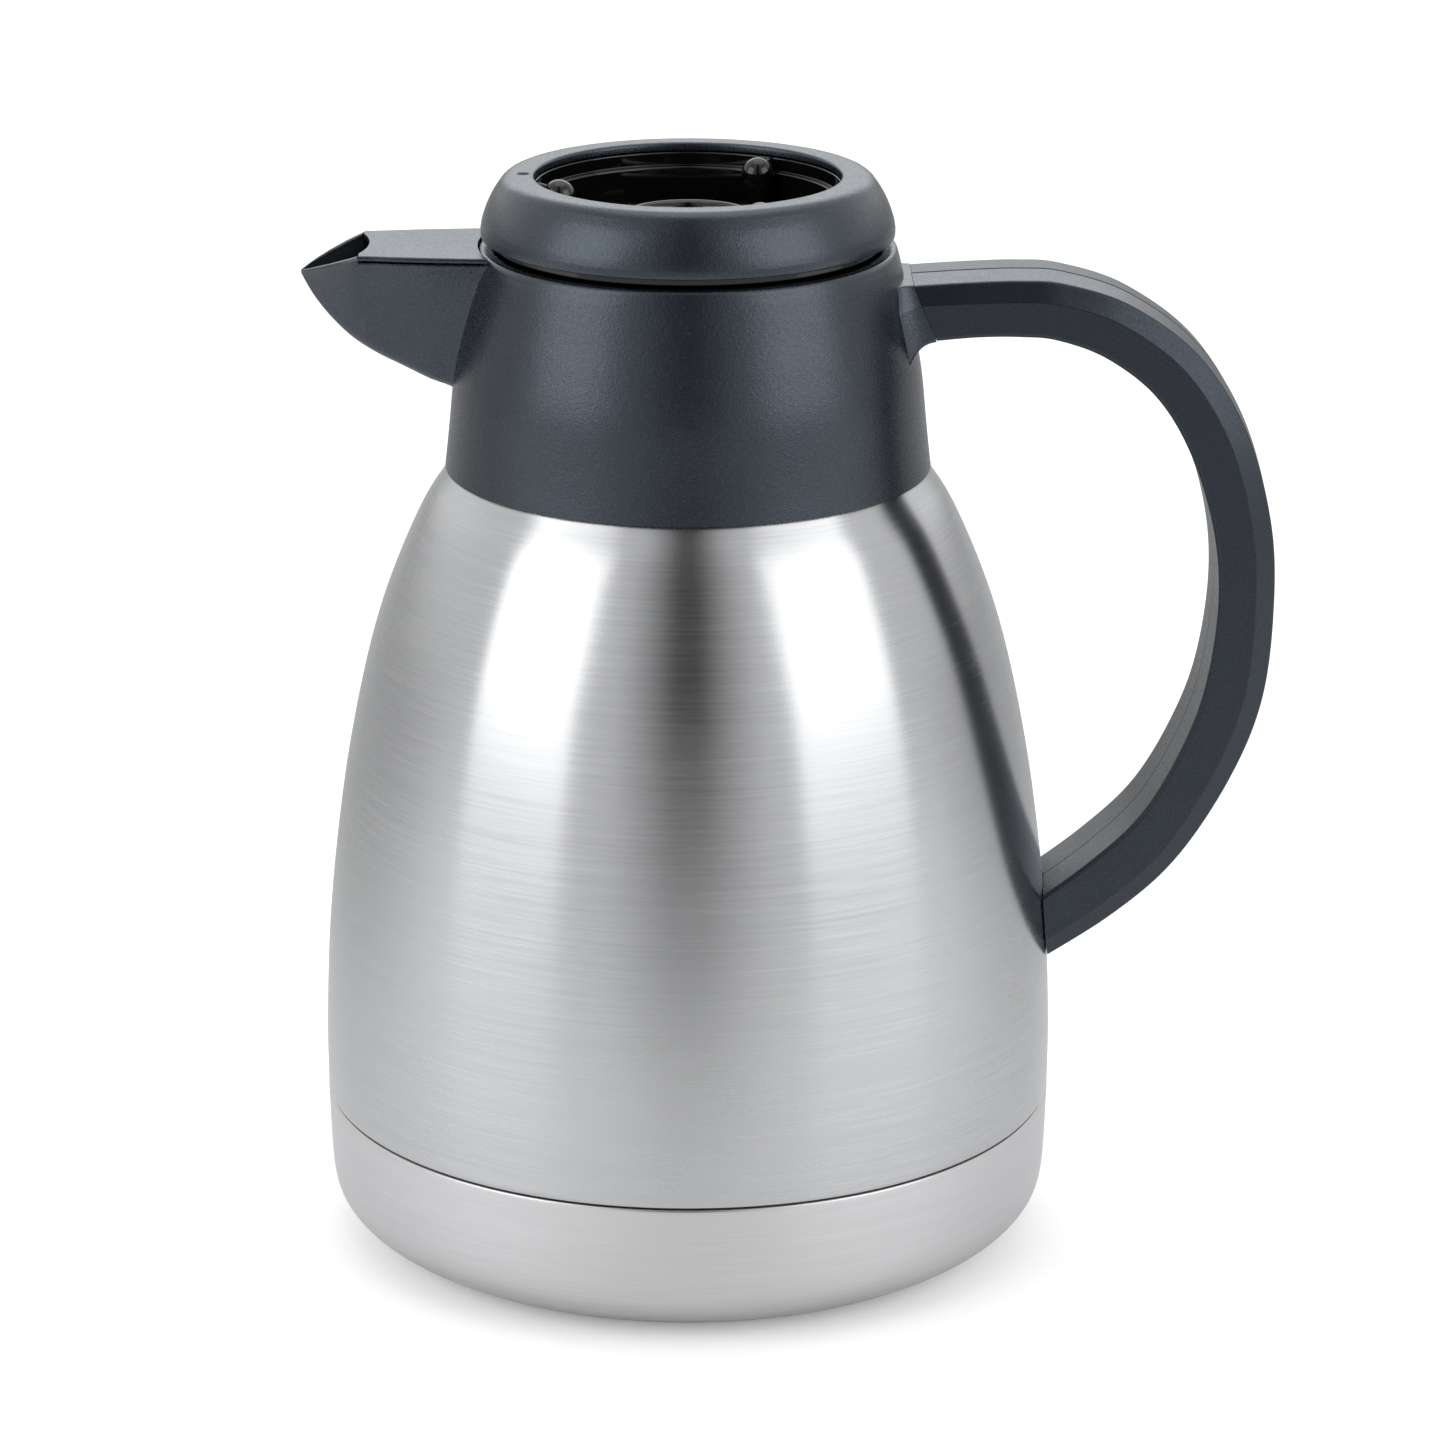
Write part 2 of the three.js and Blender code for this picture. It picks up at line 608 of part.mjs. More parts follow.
// Brew tube: a rolled lip above the bowl's floor, drain slots at the floor, and a long bore.
function brewFunnel() {
  const tube = solid(turned([
    [TUBE_BORE, TUBE_LOW], [TUBE_R, TUBE_LOW], [TUBE_R, FLOOR_Z + GAP], [15.6, FLOOR_Z + GAP],
    [15.6, 209.6], [TUBE_R + 0.3, 209.6], [TUBE_R + 0.3, 214.8], [14.2, 215.4], [14.5, 216.3],
    [13.9, LIP_Z], [12.4, LIP_Z - 0.1], [TUBE_BORE, 215.6],
  ], FINE + 4));
  const slots = [0, 90].map((azimuth) =>
    solid(block([-14.5, -3.5, 209.9], [14.5, 3.5, 213.4])
      .rotateZ(THREE.MathUtils.degToRad(azimuth + 45))));
  return cut(tube, ...slots);
}

// O-ring round the tube, close under the bowl's floor.
function funnelSeal() {
  const centreZ = FLOOR_Z - 2 - GAP - 1;
  const section = Array.from({ length: 8 }, (_, i) => {
    const [a, b] = polar(1, 45 * i);
    return [TUBE_R + 1.5 + a, centreZ + b];
  });
  return turned(section, FINE + 4);
}

const CAGE_R = 14.4;
const CAGE_BORE = TUBE_R + 0.4;
const CAGE_LOW = 162.4;

// Cage clipped on the tube's lower end: a cup with four windows and an open floor.
function valveCage() {
  const cup = solid(turned([
    [7.5, CAGE_LOW], [13.6, CAGE_LOW], [CAGE_R, CAGE_LOW + 0.8], [CAGE_R, 173.4],
    [CAGE_BORE, 173.4], [CAGE_BORE, CAGE_LOW + 1.8], [7.5, CAGE_LOW + 1.8],
  ], FINE + 4));
  const windows = [0, 90].map((azimuth) =>
    solid(block([-16, -6.5, 165], [16, 6.5, 169.5]).rotateZ(THREE.MathUtils.degToRad(azimuth))));
  return cut(cup, ...windows);
}

// Float: a light button with a cone that closes the tube's lower end when it rises.
const floatValve = () => turned([
  [0, 164.5], [8.5, 164.5], [12.2, 165.6], [12.2, 167], [9.8, 168], [2, 172], [0, 172.4],
], FINE + 4);

add('lid_cap', lidCap(), MATTE());
add('lid_bowl', lidBowl(), GLOSS());
add('stopper', stopper(), GLOSS());
add('seal_ring', sealRing(), SILICONE());
add('stopper_base', stopperBase(), GLOSS());
add('brew_funnel', brewFunnel(), GLOSS());
add('funnel_seal', funnelSeal(), SILICONE());
add('valve_cage', valveCage(), GLOSS());
add('float_valve', floatValve(), GLOSS());
postAzimuths.forEach((azimuth, i) => add(`lid_screw_${i + 1}`, lidScrew(azimuth), STEEL_PLAIN()));

export default pot;
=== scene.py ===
"""Looks for the vacuum coffee pot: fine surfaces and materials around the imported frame.

Shapes are written in millimetres and become metres when a mesh is made.
"""
import math

import bmesh
import bpy
import numpy as np
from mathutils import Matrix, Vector


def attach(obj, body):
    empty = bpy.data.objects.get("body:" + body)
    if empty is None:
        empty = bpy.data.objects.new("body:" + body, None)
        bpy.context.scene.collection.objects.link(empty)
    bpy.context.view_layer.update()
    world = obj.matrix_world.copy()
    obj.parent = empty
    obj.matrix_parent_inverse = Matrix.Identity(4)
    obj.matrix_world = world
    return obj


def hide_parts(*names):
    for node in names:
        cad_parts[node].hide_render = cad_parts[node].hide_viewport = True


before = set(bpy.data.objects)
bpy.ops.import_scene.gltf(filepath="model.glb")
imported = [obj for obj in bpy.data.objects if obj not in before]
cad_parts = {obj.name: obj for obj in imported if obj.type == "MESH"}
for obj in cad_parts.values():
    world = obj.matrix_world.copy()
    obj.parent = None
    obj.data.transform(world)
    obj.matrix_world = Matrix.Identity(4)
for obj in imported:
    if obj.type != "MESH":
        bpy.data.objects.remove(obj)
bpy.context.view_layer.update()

MM = 0.001

# ------------ driving dimensions, mm

STEEL = 0.8                 # sheet thickness of the vessel
GAP = 0.3                   # space between neighbouring pieces
BODY_R = 76.0
SEAM_Z = 30.5
SEAM_HALF = 0.2             # half the open seam between shell and cup
VACUUM = 4.0
NECK_R = 38.2
MOUTH_R = 34.0
MOUTH_Z = 187.0
COLLAR_TOP = 209.4
LIP_R = 39.7
LIP_DEPTH = 1.7
CAP_TOP = 224.0
CAP_LOW = 211.6
BOWL_R = 31.0
FLOOR_Z = 208.0
LEDGE_Z = 219.4
POST_R = 26.0
TUBE_R = 12.6
TUBE_BORE = 11.0
BAND_R = 39.3
PLUG_R = 31.6
PLUG_LOW = 176.6
WALL_R = 36.8
HANDLE_HALF = 12.0
FACE_HALF = 10.0
BEVEL = 4.0
HANDLE_WALL = 2.5
ROOT_X = 50.0
ARM_TOP = 203.3
ARM_BOTTOM = 192.2
POST_ANGLES = (180.0, 60.0, -60.0)
BOWL_POSTS = (180.0, 56.5, -56.5)
SCREW_HOLE_R = 1.7
HANDLE_SCREWS = {"upper": (56.0, 198.0), "middle": (113.4, 136.0), "lower": (81.5, 72.6)}

# ------------ outlines and grids


def smooth_line(knots, count):
    """Uniform Catmull-Rom curve through the knots, as count points. Between two knots it is
    the cubic whose slope at each knot is half the step from the knot before to the one after;
    the end knots are mirrored outward to give the end slopes."""
    p = np.asarray(knots, float)
    p = np.vstack([2 * p[0] - p[1], p, 2 * p[-1] - p[-2]])
    t = np.linspace(0, len(knots) - 1, count)
    k = np.minimum(t.astype(int), len(knots) - 2)
    f = (t - k)[:, None]
    a, b, c, d = p[k], p[k + 1], p[k + 2], p[k + 3]
    return b + 0.5 * f * (c - a + f * (2 * a - 5 * b + 4 * c - d + f * (3 * (b - c) + d - a)))


def rounded(corners, closed=True, steps=5, hold=0.25):
    """Outline through corners (u, v, radius). A corner with a radius is replaced by the
    parabola that is tangent to both of its sides, and by one more point on each side,
    a share `hold` of the radius further out, so that the flat stretches shade flat."""
    line = []
    n = len(corners)
    for i, (u, v, *rest) in enumerate(corners):
        p = np.array([u, v], float)
        radius = rest[0] if rest else 0.0
        if radius <= 0 or (not closed and i in (0, n - 1)):
            line.append(p)
            continue
        before = np.array(corners[i - 1][:2], float) - p
        after = np.array(corners[(i + 1) % n][:2], float) - p
        la, lb = np.hypot(*before), np.hypot(*after)
        before, after = before / la, after / lb
        half = 0.5 * math.acos(float(np.clip(before @ after, -1, 1)))
        reach = min(radius / math.tan(half), 0.42 * la, 0.42 * lb)
        extra = hold * reach
        t = np.linspace(0, 1, steps + 1)[:, None]
        arc = p + before * reach * (1 - t) ** 2 + after * reach * t ** 2
        line += [p + before * (reach + extra), *arc, p + after * (reach + extra)]
    return np.array(line)


def ring_angles(count, dense_at=None, dense_half=6.0, dense_count=48):
    """Angles once round, in radians. With dense_at (degrees) the turn starts half way round
    from there and has dense_count extra steps within dense_half degrees of it."""
    if dense_at is None:
        return np.linspace(0, 2 * math.pi, count, endpoint=False)
    wide = np.linspace(dense_half, 360 - dense_half, count)
    fine = np.linspace(-dense_half, dense_half, dense_count, endpoint=False)[1:]
    return np.radians(np.concatenate([fine, wide]) + dense_at)


def grid_quads(rows, cols, close_rows, close_cols, keep=None):
    """Four-sided faces of a grid of points numbered row by row. keep is a mask of the faces,
    one row of faces for each row of points and one column for each column of points."""
    i, j = np.meshgrid(np.arange(rows - (not close_rows)), np.arange(cols - (not close_cols)),
                       indexing="ij")
    up, on = (i + 1) % rows, (j + 1) % cols
    quads = np.stack([i * cols + j, i * cols + on, up * cols + on, up * cols + j], axis=-1)
    return quads.reshape(-1, 4) if keep is None else quads[keep[:len(quads), :quads.shape[1]]]


def spun(outline, angles=None, holes=()):
    """Surface of revolution: point (r, z) of the closed outline at angle a stands at
    (r cos a, r sin a, z). Each hole is (outer rows, inner rows, columns): the faces between
    those rows and columns go from both walls, and four reveals join the two edges."""
    angles = ring_angles(288) if angles is None else angles
    rows, cols = len(outline), len(angles)
    r, z = outline[:, 0][:, None], outline[:, 1][:, None]
    points = np.stack([r * np.cos(angles), r * np.sin(angles), z + 0 * angles], axis=-1)
    keep = np.ones((rows, cols), bool)
    reveals = []
    for outer, inner, columns in holes:
        span = columns[:-1]
        for wall in (outer, inner):
            keep[np.ix_(np.arange(min(wall), max(wall)), span)] = False
        for a, b in ((columns[0], columns[0]), (columns[-1], columns[-1])):
            reveals += [[o0 * cols + a, o1 * cols + a, i1 * cols + b, i0 * cols + b]
                        for o0, o1, i0, i1 in zip(outer[:-1], outer[1:], inner[:-1], inner[1:])]
        for o, i in ((outer[0], inner[0]), (outer[-1], inner[-1])):
            reveals += [[o * cols + c, o * cols + d, i * cols + d, i * cols + c]
                        for c, d in zip(columns[:-1], columns[1:])]
    faces = grid_quads(rows, cols, True, True, keep)
    return points.reshape(-1, 3), faces.tolist() + reveals


def skinned(sections):
    """Skin over a stack of closed sections, an array (steps, corners, 3) with an even number
    of corners. Each end is closed by a strip that joins corner i to corner n - 1 - i."""
    steps, corners, _ = sections.shape
    i = np.arange(corners // 2 - 1)
    strip = np.stack([i, i + 1, corners - 2 - i, corners - 1 - i], axis=-1)
    faces = np.vstack([grid_quads(steps, corners, False, True), strip[:, ::-1],
                       strip + (steps - 1) * corners])
    return sections.reshape(-1, 3), faces.tolist()


def together(*shapes):
    """Several shapes as one: their points in a row, their faces counted on."""
    points, faces, start = [], [], 0
    for some, sides in shapes:
        points.append(np.asarray(some, float))
        faces += [[start + k for k in side] for side in sides]
        start += len(some)
    return np.vstack(points), faces


def window(outer_first, inner_first, rows, columns):
    """A hole for spun(): the same number of rows up one wall and down the other."""
    return (list(range(outer_first, outer_first + rows)),
            list(range(inner_first, inner_first + rows))[::-1], list(columns))


def prism(outline, low, high):
    """A flat outline of (x, y) corners given straight walls from z = low to z = high."""
    outline = np.asarray(outline, float)
    ring = np.arange(len(outline))
    base = np.column_stack([outline, np.full(len(outline), float(low))])
    top = np.column_stack([outline, np.full(len(outline), float(high))])
    on = np.roll(ring, -1)
    sides = np.stack([ring, on, on + len(ring), ring + len(ring)], axis=-1).tolist()
    return np.vstack([base, top]), sides + [ring[::-1].tolist(), (ring + len(ring)).tolist()]


def placed(shape, degrees, out=0.0):
    """A shape moved along X by `out`, then turned about the Z axis."""
    a = math.radians(degrees)
    turn = np.array([[math.cos(a), -math.sin(a), 0], [math.sin(a), math.cos(a), 0], [0, 0, 1]])
    return (np.asarray(shape[0]) + [out, 0, 0]) @ turn.T, shape[1]


def circle(radius, sides):
    a = np.linspace(0, 2 * math.pi, sides, endpoint=False)
    return radius * np.column_stack([np.cos(a), np.sin(a)])


def round_bar(radius, low, high, sides=48):
    return prism(circle(radius, sides), low, high)


def cross_slot(low, high):
    """Cutters for the cross in a screw's head."""
    return [prism([[-x, -y], [x, -y], [x, y], [-x, y]], low, high)
            for x, y in ((1.5, 0.28), (0.28, 1.5))]


def in_scene(name, data):
    made = bpy.data.objects.new(name, data)
    bpy.context.scene.collection.objects.link(made)
    return made


def closed_mesh(name, shape):
    """A mesh from (points in mm, faces), its doubles merged and its faces turned outward."""
    points, faces = shape
    mesh = bpy.data.meshes.new(name)
    mesh.from_pydata((np.asarray(points) * MM).tolist(), [], faces)
    work = bmesh.new()
    work.from_mesh(mesh)
    bmesh.ops.remove_doubles(work, verts=work.verts, dist=2e-7)
    bmesh.ops.recalc_face_normals(work, faces=work.faces)
    work.to_mesh(mesh)
    work.free()
    return mesh


def cut_away(shape, *cutters):
    """A shape less the cutters, as a mesh."""
    body = in_scene("blank", closed_mesh("blank", shape))
    tools = []
    for cutter in cutters:
        tool = in_scene("cutter", closed_mesh("cutter", cutter))
        work = body.modifiers.new("cut", "BOOLEAN")
        work.object, work.operation, work.solver = tool, "DIFFERENCE", "EXACT"
        tools.append(tool)
    seen = body.evaluated_get(bpy.context.evaluated_depsgraph_get())
    mesh = bpy.data.meshes.new_from_object(seen)
    for spare in (body, *tools):
        old = spare.data
        bpy.data.objects.remove(spare)
        bpy.data.meshes.remove(old)
    return mesh


def shape_of(mesh):
    """A mesh back as (points in mm, faces)."""
    points = np.empty(len(mesh.vertices) * 3)
    mesh.vertices.foreach_get("co", points)
    return points.reshape(-1, 3) / MM, [list(side.vertices) for side in mesh.polygons]


def piece(name, shape, material, body, stands_for=(), sharp=None, shaded_faces=None):
    """Makes a mesh object from (points in mm, faces), shaded smooth except over edges
    sharper than `sharp` degrees. The last argument is (material, test of the faces' centres in mm):
    the faces that pass the test get that second material, which paints shade on them."""
    mesh = closed_mesh(name, shape)
    mesh.shade_smooth()
    mesh.materials.append(material)
    if shaded_faces:
        mesh.materials.append(shaded_faces[0])
        centres = np.empty(len(mesh.polygons) * 3)
        mesh.polygons.foreach_get("center", centres)
        mesh.polygons.foreach_set("material_index",
                                  shaded_faces[1](centres.reshape(-1, 3) / MM).astype(int))
    if sharp:
        mesh.set_sharp_from_angle(angle=math.radians(sharp))
    made = in_scene(name, mesh)
    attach(made, body)
    if stands_for:
        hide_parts(*stands_for)
    return made


# ------------ shader building


def feed(tree, sockets, values):
    """Gives each named socket a value or a link from another node's output."""
    for key, value in values.items():
        if isinstance(value, bpy.types.NodeSocket):
            tree.links.new(value, sockets[key])
        else:
            sockets[key].default_value = value


def node(tree, kind, inputs=None, **settings):
    made = tree.nodes.new(kind)
    for key, value in settings.items():
        setattr(made, key, value)
    feed(tree, made.inputs, inputs or {})
    return made


def new_group(name, inputs, outputs):
    """A shader node group; inputs are (name, value) and outputs are names of values."""
    tree = bpy.data.node_groups.new(name, "ShaderNodeTree")
    for label, value in inputs:
        socket = tree.interface.new_socket(label, in_out="INPUT", socket_type="NodeSocketFloat")
        socket.default_value = value
    for label in outputs:
        tree.interface.new_socket(label, in_out="OUTPUT", socket_type="NodeSocketFloat")
    return tree, node(tree, "NodeGroupInput").outputs, node(tree, "NodeGroupOutput").inputs


def place_coordinates(tree):
    return node(tree, "ShaderNodeTexCoord").outputs["Object"]


def math_node(tree, operation, a, b=0.0, c=0.0):
    return node(tree, "ShaderNodeMath", {0: a, 1: b, 2: c}, operation=operation).outputs[0]


def times(tree, a, b):
    return math_node(tree, "MULTIPLY", a, b)


def noise(tree, vector, scale, detail=2.0, roughness=0.5):
    return node(tree, "ShaderNodeTexNoise", {"Vector": vector, "Scale": scale, "Detail": detail,
                                             "Roughness": roughness}).outputs["Fac"]


def remap(tree, value, low, high, to_low=0.0, to_high=1.0):
    return node(tree, "ShaderNodeMapRange", {"Value": value, "From Min": low, "From Max": high,
                                             "To Min": to_low, "To Max": to_high}).outputs[0]


def brushing_group():
    """Hairlines that run round the body: noise squeezed thin along Z and drawn out along X
    and Y. Fine lines, coarser lines and a slow cloud that makes some bands stronger."""
    tree, given, out = new_group("brushing", [("Lines per metre", 2600.0), ("Length", 40.0),
                                              ("Cloud", 9.0)], ["Fine", "Coarse", "Cloud"])
    place = node(tree, "ShaderNodeSeparateXYZ", {0: place_coordinates(tree)}).outputs

    def drawn(per_metre, length):
        stretched = node(tree, "ShaderNodeCombineXYZ", {
            "X": times(tree, place["X"], length),
            "Y": times(tree, place["Y"], length),
            "Z": times(tree, place["Z"], per_metre)}).outputs[0]
        return noise(tree, stretched, 1.0, 2.0, 0.6)

    coarse = times(tree, given["Lines per metre"], 0.22)
    feed(tree, out, {
        "Fine": drawn(given["Lines per metre"], given["Length"]),
        "Coarse": drawn(coarse, times(tree, given["Length"], 0.6)),
        "Cloud": noise(tree, place_coordinates(tree), given["Cloud"], 2.0)})
    return tree


def grain_group():
    """Spark-eroded moulding texture: two sizes of fine noise, and a slow cloud of tone."""
    tree, given, out = new_group("mould_grain", [("Grains per metre", 1500.0), ("Cloud", 22.0)],
                                 ["Speck", "Height", "Cloud"])
    place = place_coordinates(tree)
    fine = noise(tree, place, given["Grains per metre"], 2.0, 0.65)
    broad = noise(tree, place, times(tree, given["Grains per metre"], 0.45))
    both = math_node(tree, "MULTIPLY_ADD", fine, 0.65, times(tree, broad, 0.35))
    feed(tree, out, {"Speck": remap(tree, both, 0.36, 0.64), "Height": both,
                     "Cloud": noise(tree, place, given["Cloud"], 3.0, 0.55)})
    return tree


def handling_group():
    """Faint smears and dust that dull a surface here and there."""
    tree, given, out = new_group("handling", [("Smear size", 28.0), ("Dust per metre", 700.0)],
                                 ["Smear", "Dust"])
    place = place_coordinates(tree)
    smear = noise(tree, place, given["Smear size"], 4.0, 0.6)
    dust = noise(tree, place, given["Dust per metre"], 1.0, 0.4)
    feed(tree, out, {"Smear": remap(tree, smear, 0.45, 0.75),
                     "Dust": remap(tree, dust, 0.78, 0.88, 0.0, 0.6)})
    return tree


BRUSHING = brushing_group()
GRAIN = grain_group()
HANDLING = handling_group()


def shader(name, slot, **fixed):
    """A material with a Principled BSDF; fixed values go on its own sockets."""
    material = bpy.data.materials.new(name)
    material.use_nodes = True
    material["slot"] = slot
    tree = material.node_tree
    surface = tree.nodes["Principled BSDF"]
    for key, value in fixed.items():
        surface.inputs[key.replace("_", " ")].default_value = value
    return material, tree, surface.inputs


def effect(tree, group, **values):
    made = node(tree, "ShaderNodeGroup", node_tree=group)
    for key, value in values.items():
        made.inputs[key.replace("_", " ")].default_value = value
    return made.outputs


# The colour sockets of a Mix node, which share their names with its number sockets.
MIX_COLOUR_A, MIX_COLOUR_B, MIX_COLOUR_OUT = 6, 7, 2


def mixed(tree, share, dark, light):
    """A colour between two, by a share from 0 to 1."""
    blend = node(tree, "ShaderNodeMix", {0: share}, data_type="RGBA")
    blend.inputs[MIX_COLOUR_A].default_value = (*dark, 1.0)
    blend.inputs[MIX_COLOUR_B].default_value = (*light, 1.0)
    return blend.outputs[MIX_COLOUR_OUT]


def bumped(tree, height, distance, strength=1.0):
    return node(tree, "ShaderNodeBump", {"Height": height, "Distance": distance,
                                         "Strength": strength}).outputs["Normal"]


def steel(name, slot, dark, light, rough, lines, bump, anisotropy):
    """Brushed stainless steel: the hairlines shade the colour, the gloss and the normal.
    The tangent runs round the body, and a quarter turn spreads the gloss across the lines."""
    material, tree, surface = shader(name, slot, Metallic=1.0, Anisotropic=anisotropy,
                                     Anisotropic_Rotation=0.25)
    hair = effect(tree, BRUSHING, Lines_per_metre=lines)
    touch = effect(tree, HANDLING)
    lines_mix = math_node(tree, "MULTIPLY_ADD", hair["Fine"], 0.7, times(tree, hair["Coarse"], 0.3))
    base = remap(tree, lines_mix, 0.25, 0.75, rough - 0.02, rough + 0.03)
    clouded = math_node(tree, "MULTIPLY_ADD", hair["Cloud"], 0.05, base)
    dulled = math_node(tree, "MULTIPLY_ADD", touch["Smear"], 0.03, clouded)
    feed(tree, surface, {
        "Base Color": mixed(tree, remap(tree, lines_mix, 0.25, 0.75), dark, light),
        "Roughness": dulled, "Normal": bumped(tree, lines_mix, bump)})
    return material


def moulded(name, slot, dark, light, rough, grain, bump, shine=0.62):
    """Matte moulded plastic with a spark texture; smears make it a little glossier."""
    material, tree, surface = shader(name, slot, Specular_IOR_Level=shine,
                                     Specular_Tint=(0.74, 0.86, 1.0, 1.0))
    texture = effect(tree, GRAIN, Grains_per_metre=grain)
    touch = effect(tree, HANDLING)
    flecks = math_node(tree, "POWER", texture["Speck"], 2.2)
    share = math_node(tree, "MULTIPLY_ADD", flecks, 0.85, times(tree, texture["Cloud"], 0.15))
    grained = math_node(tree, "MULTIPLY_ADD", texture["Speck"], -0.12, rough + 0.06)
    feed(tree, surface, {
        "Base Color": mixed(tree, share, dark, light),
        "Roughness": math_node(tree, "MULTIPLY_ADD", touch["Smear"], -0.05, grained),
        "Normal": bumped(tree, texture["Height"], bump)})
    return material


def polished(name, slot, colour, rough):
    """Polished plastic: nearly even, with dust specks and faint smears in its gloss."""
    material, tree, surface = shader(name, slot, Specular_IOR_Level=0.5)
    touch = effect(tree, HANDLING, Dust_per_metre=900.0)
    texture = effect(tree, GRAIN, Grains_per_metre=160.0)
    dusty = tuple(c + 0.02 for c in colour)
    gloss = math_node(tree, "MULTIPLY_ADD", touch["Smear"], 0.07, rough)
    feed(tree, surface, {
        "Base Color": mixed(tree, touch["Dust"], colour, dusty),
        "Roughness": math_node(tree, "MULTIPLY_ADD", touch["Dust"], 0.3, gloss),
        "Normal": bumped(tree, texture["Height"], 0.00001)})
    return material


def silicone_rubber(name, slot):
    """Cloudy food-grade silicone."""
    material, tree, surface = shader(name, slot, Subsurface_Weight=0.25, Subsurface_Scale=0.002,
                                     Specular_IOR_Level=0.4)
    texture = effect(tree, GRAIN, Grains_per_metre=420.0, Cloud=60.0)
    feed(tree, surface, {
        "Base Color": mixed(tree, texture["Cloud"], (0.40, 0.41, 0.41), (0.56, 0.57, 0.56)),
        "Roughness": remap(tree, texture["Speck"], 0.0, 1.0, 0.42, 0.58),
        "Normal": bumped(tree, texture["Height"], 0.00008)})
    return material


SHELL_STEEL = steel("brushed_shell", "brushed_steel", (0.46, 0.465, 0.474), (0.53, 0.536, 0.546),
                    0.225, 2400.0, 0.0000006, 0.85)
CUP_STEEL = steel("satin_cup", "plain_steel", (0.54, 0.54, 0.55), (0.61, 0.61, 0.62),
                  0.31, 2000.0, 0.000002, 0.6)
INNER_STEEL = steel("drawn_steel", "plain_steel", (0.52, 0.52, 0.53), (0.63, 0.63, 0.64),
                    0.30, 1400.0, 0.000006, 0.4)
MATTE = moulded("matte_collar", "matte_black", (0.0008, 0.0010, 0.0015), (0.016, 0.0195, 0.029),
                0.27, 2600.0, 0.00007, shine=0.82)
GRIP = moulded("matte_grip", "matte_black", (0.0022, 0.0026, 0.0037), (0.0105, 0.0125, 0.018),
               0.31, 2600.0, 0.00003)
# Painted shade: a darker, less glossy copy of the matte plastic, with a finer grain, for the faces
# deep in the spout's channel.
CHANNEL = moulded("smooth_channel_painted_shade", "matte_black", (0.001, 0.0012, 0.0015), (0.003, 0.0035, 0.0045),
                  0.55, 900.0, 0.00003, shine=0.12)
GLOSS = polished("gloss_black", "gloss_black", (0.003, 0.003, 0.0036), 0.05)
SATIN_BLACK = polished("satin_black", "gloss_black", (0.012, 0.012, 0.013), 0.22)
SILICONE = silicone_rubber("clear_silicone", "silicone")

# ------------ steel vessel

BODY_CURVE = [
    [BODY_R, SEAM_Z], [BODY_R, 45], [75.1, 65], [73.1, 85], [70.1, 105], [65.8, 125],
    [61.1, 140], [54.6, 155], [48.9, 163.8], [43.2, 172], [39.6, 178], [NECK_R, 182],
]
body_line = smooth_line(BODY_CURVE, 150)


def body_radius(z):
    """Outside radius of the steel body at a height."""
    return np.interp(z, body_line[:, 1], body_line[:, 0])


def outer_shell():
    """The body's outside, with a small round edge at the seam, and its inside."""
    low = SEAM_Z + SEAM_HALF
    skin = body_line[body_line[:, 1] > low + 0.5]
    outside = np.vstack([[BODY_R - 0.45, low], [BODY_R - 0.14, low + 0.06],
                         [BODY_R - 0.03, low + 0.25], skin, [NECK_R, MOUTH_Z - STEEL - GAP]])
    inside = outside[::-1] - [STEEL, 0]
    return spun(np.vstack([outside, inside]))


def base_cup():
    """Foot ring, pressed groove and well underneath, a round heel, and the straight side."""
    high = SEAM_Z - SEAM_HALF
    under = rounded([(0, 1.6), (24.6, 1.6, 0.2), (24.6, 0, 0.25), (41, 0, 0.7), (43, 2.4, 0.9),
                     (53, 2.4, 0.9), (55, 0, 0.7), (59.5, 0)], closed=False)
    heel = smooth_line([[60.6, 0.02], [63.8, 0.75], [67.2, 2.35], [70.3, 4.2], [72.8, 6.5],
                        [74.5, 9.3], [75.3, 13.2], [75.7, 20], [BODY_R, high - 0.55]], 64)
    edge = np.array([[BODY_R - 0.03, high - 0.25], [BODY_R - 0.14, high - 0.06],
                     [BODY_R - 0.45, high]])
    inside = np.array([[BODY_R - STEEL, high], [74.8, 20], [74.3, 12.7], [72.2, 7.6],
                       [66.5, 3.4], [61.3, 0.9], [55.4, 0.9], [53.4, 3.2], [42.6, 3.2],
                       [40.6, 0.9], [25.5, 0.9], [25.5, 2.4], [0, 2.4]])
    return spun(np.vstack([under, heel, edge, inside]))


def inner_liner():
    """The second wall: a rounded bottom, the body's line moved inward, and a mouth that
    rolls outward over the neck."""
    mouth_out = MOUTH_R + STEEL
    floor = smooth_line([[0, 8], [28, 8], [53, 8.1], [62.5, 10.4], [68.6, 17.5],
                         [71.2, SEAM_Z]], 42)

    def wall(inset, least):
        line = body_line[1:] - [inset, 0]
        return np.column_stack([np.maximum(line[:, 0], least), line[:, 1]])

    outward = STEEL + VACUUM
    lip = np.array([[mouth_out, 185.2], [35.0, 185.9], [35.5, 186.2], [NECK_R - 0.3, 186.2],
                    [NECK_R, 186.4], [NECK_R, 186.8], [NECK_R - 0.25, MOUTH_Z], [34.9, MOUTH_Z],
                    [34.3, 186.85], [MOUTH_R, 186.3]])
    floor_inside = np.column_stack([np.maximum(floor[:, 0] - STEEL, 0), floor[:, 1] + STEEL])
    line = np.vstack([floor, wall(outward, mouth_out), lip, wall(outward + STEEL, MOUTH_R)[::-1],
                      floor_inside[::-1]])
    return spun(line, ring_angles(192))


piece("body_shell", outer_shell(), SHELL_STEEL, "pot", ["outer_shell"], sharp=50)
piece("body_cup", base_cup(), CUP_STEEL, "pot", ["base_cup"], sharp=50)
piece("cover_plate", spun(rounded([(0, 0), (24.2, 0, 0.3), (24.2, 1.3, 0.3), (0, 1.3)]),
                          ring_angles(144)), CUP_STEEL, "pot", ["base_disc"], sharp=50)
piece("liner_wall", inner_liner(), INNER_STEEL, "pot", ["inner_liner"], sharp=50)

# ------------ collar, spout and root

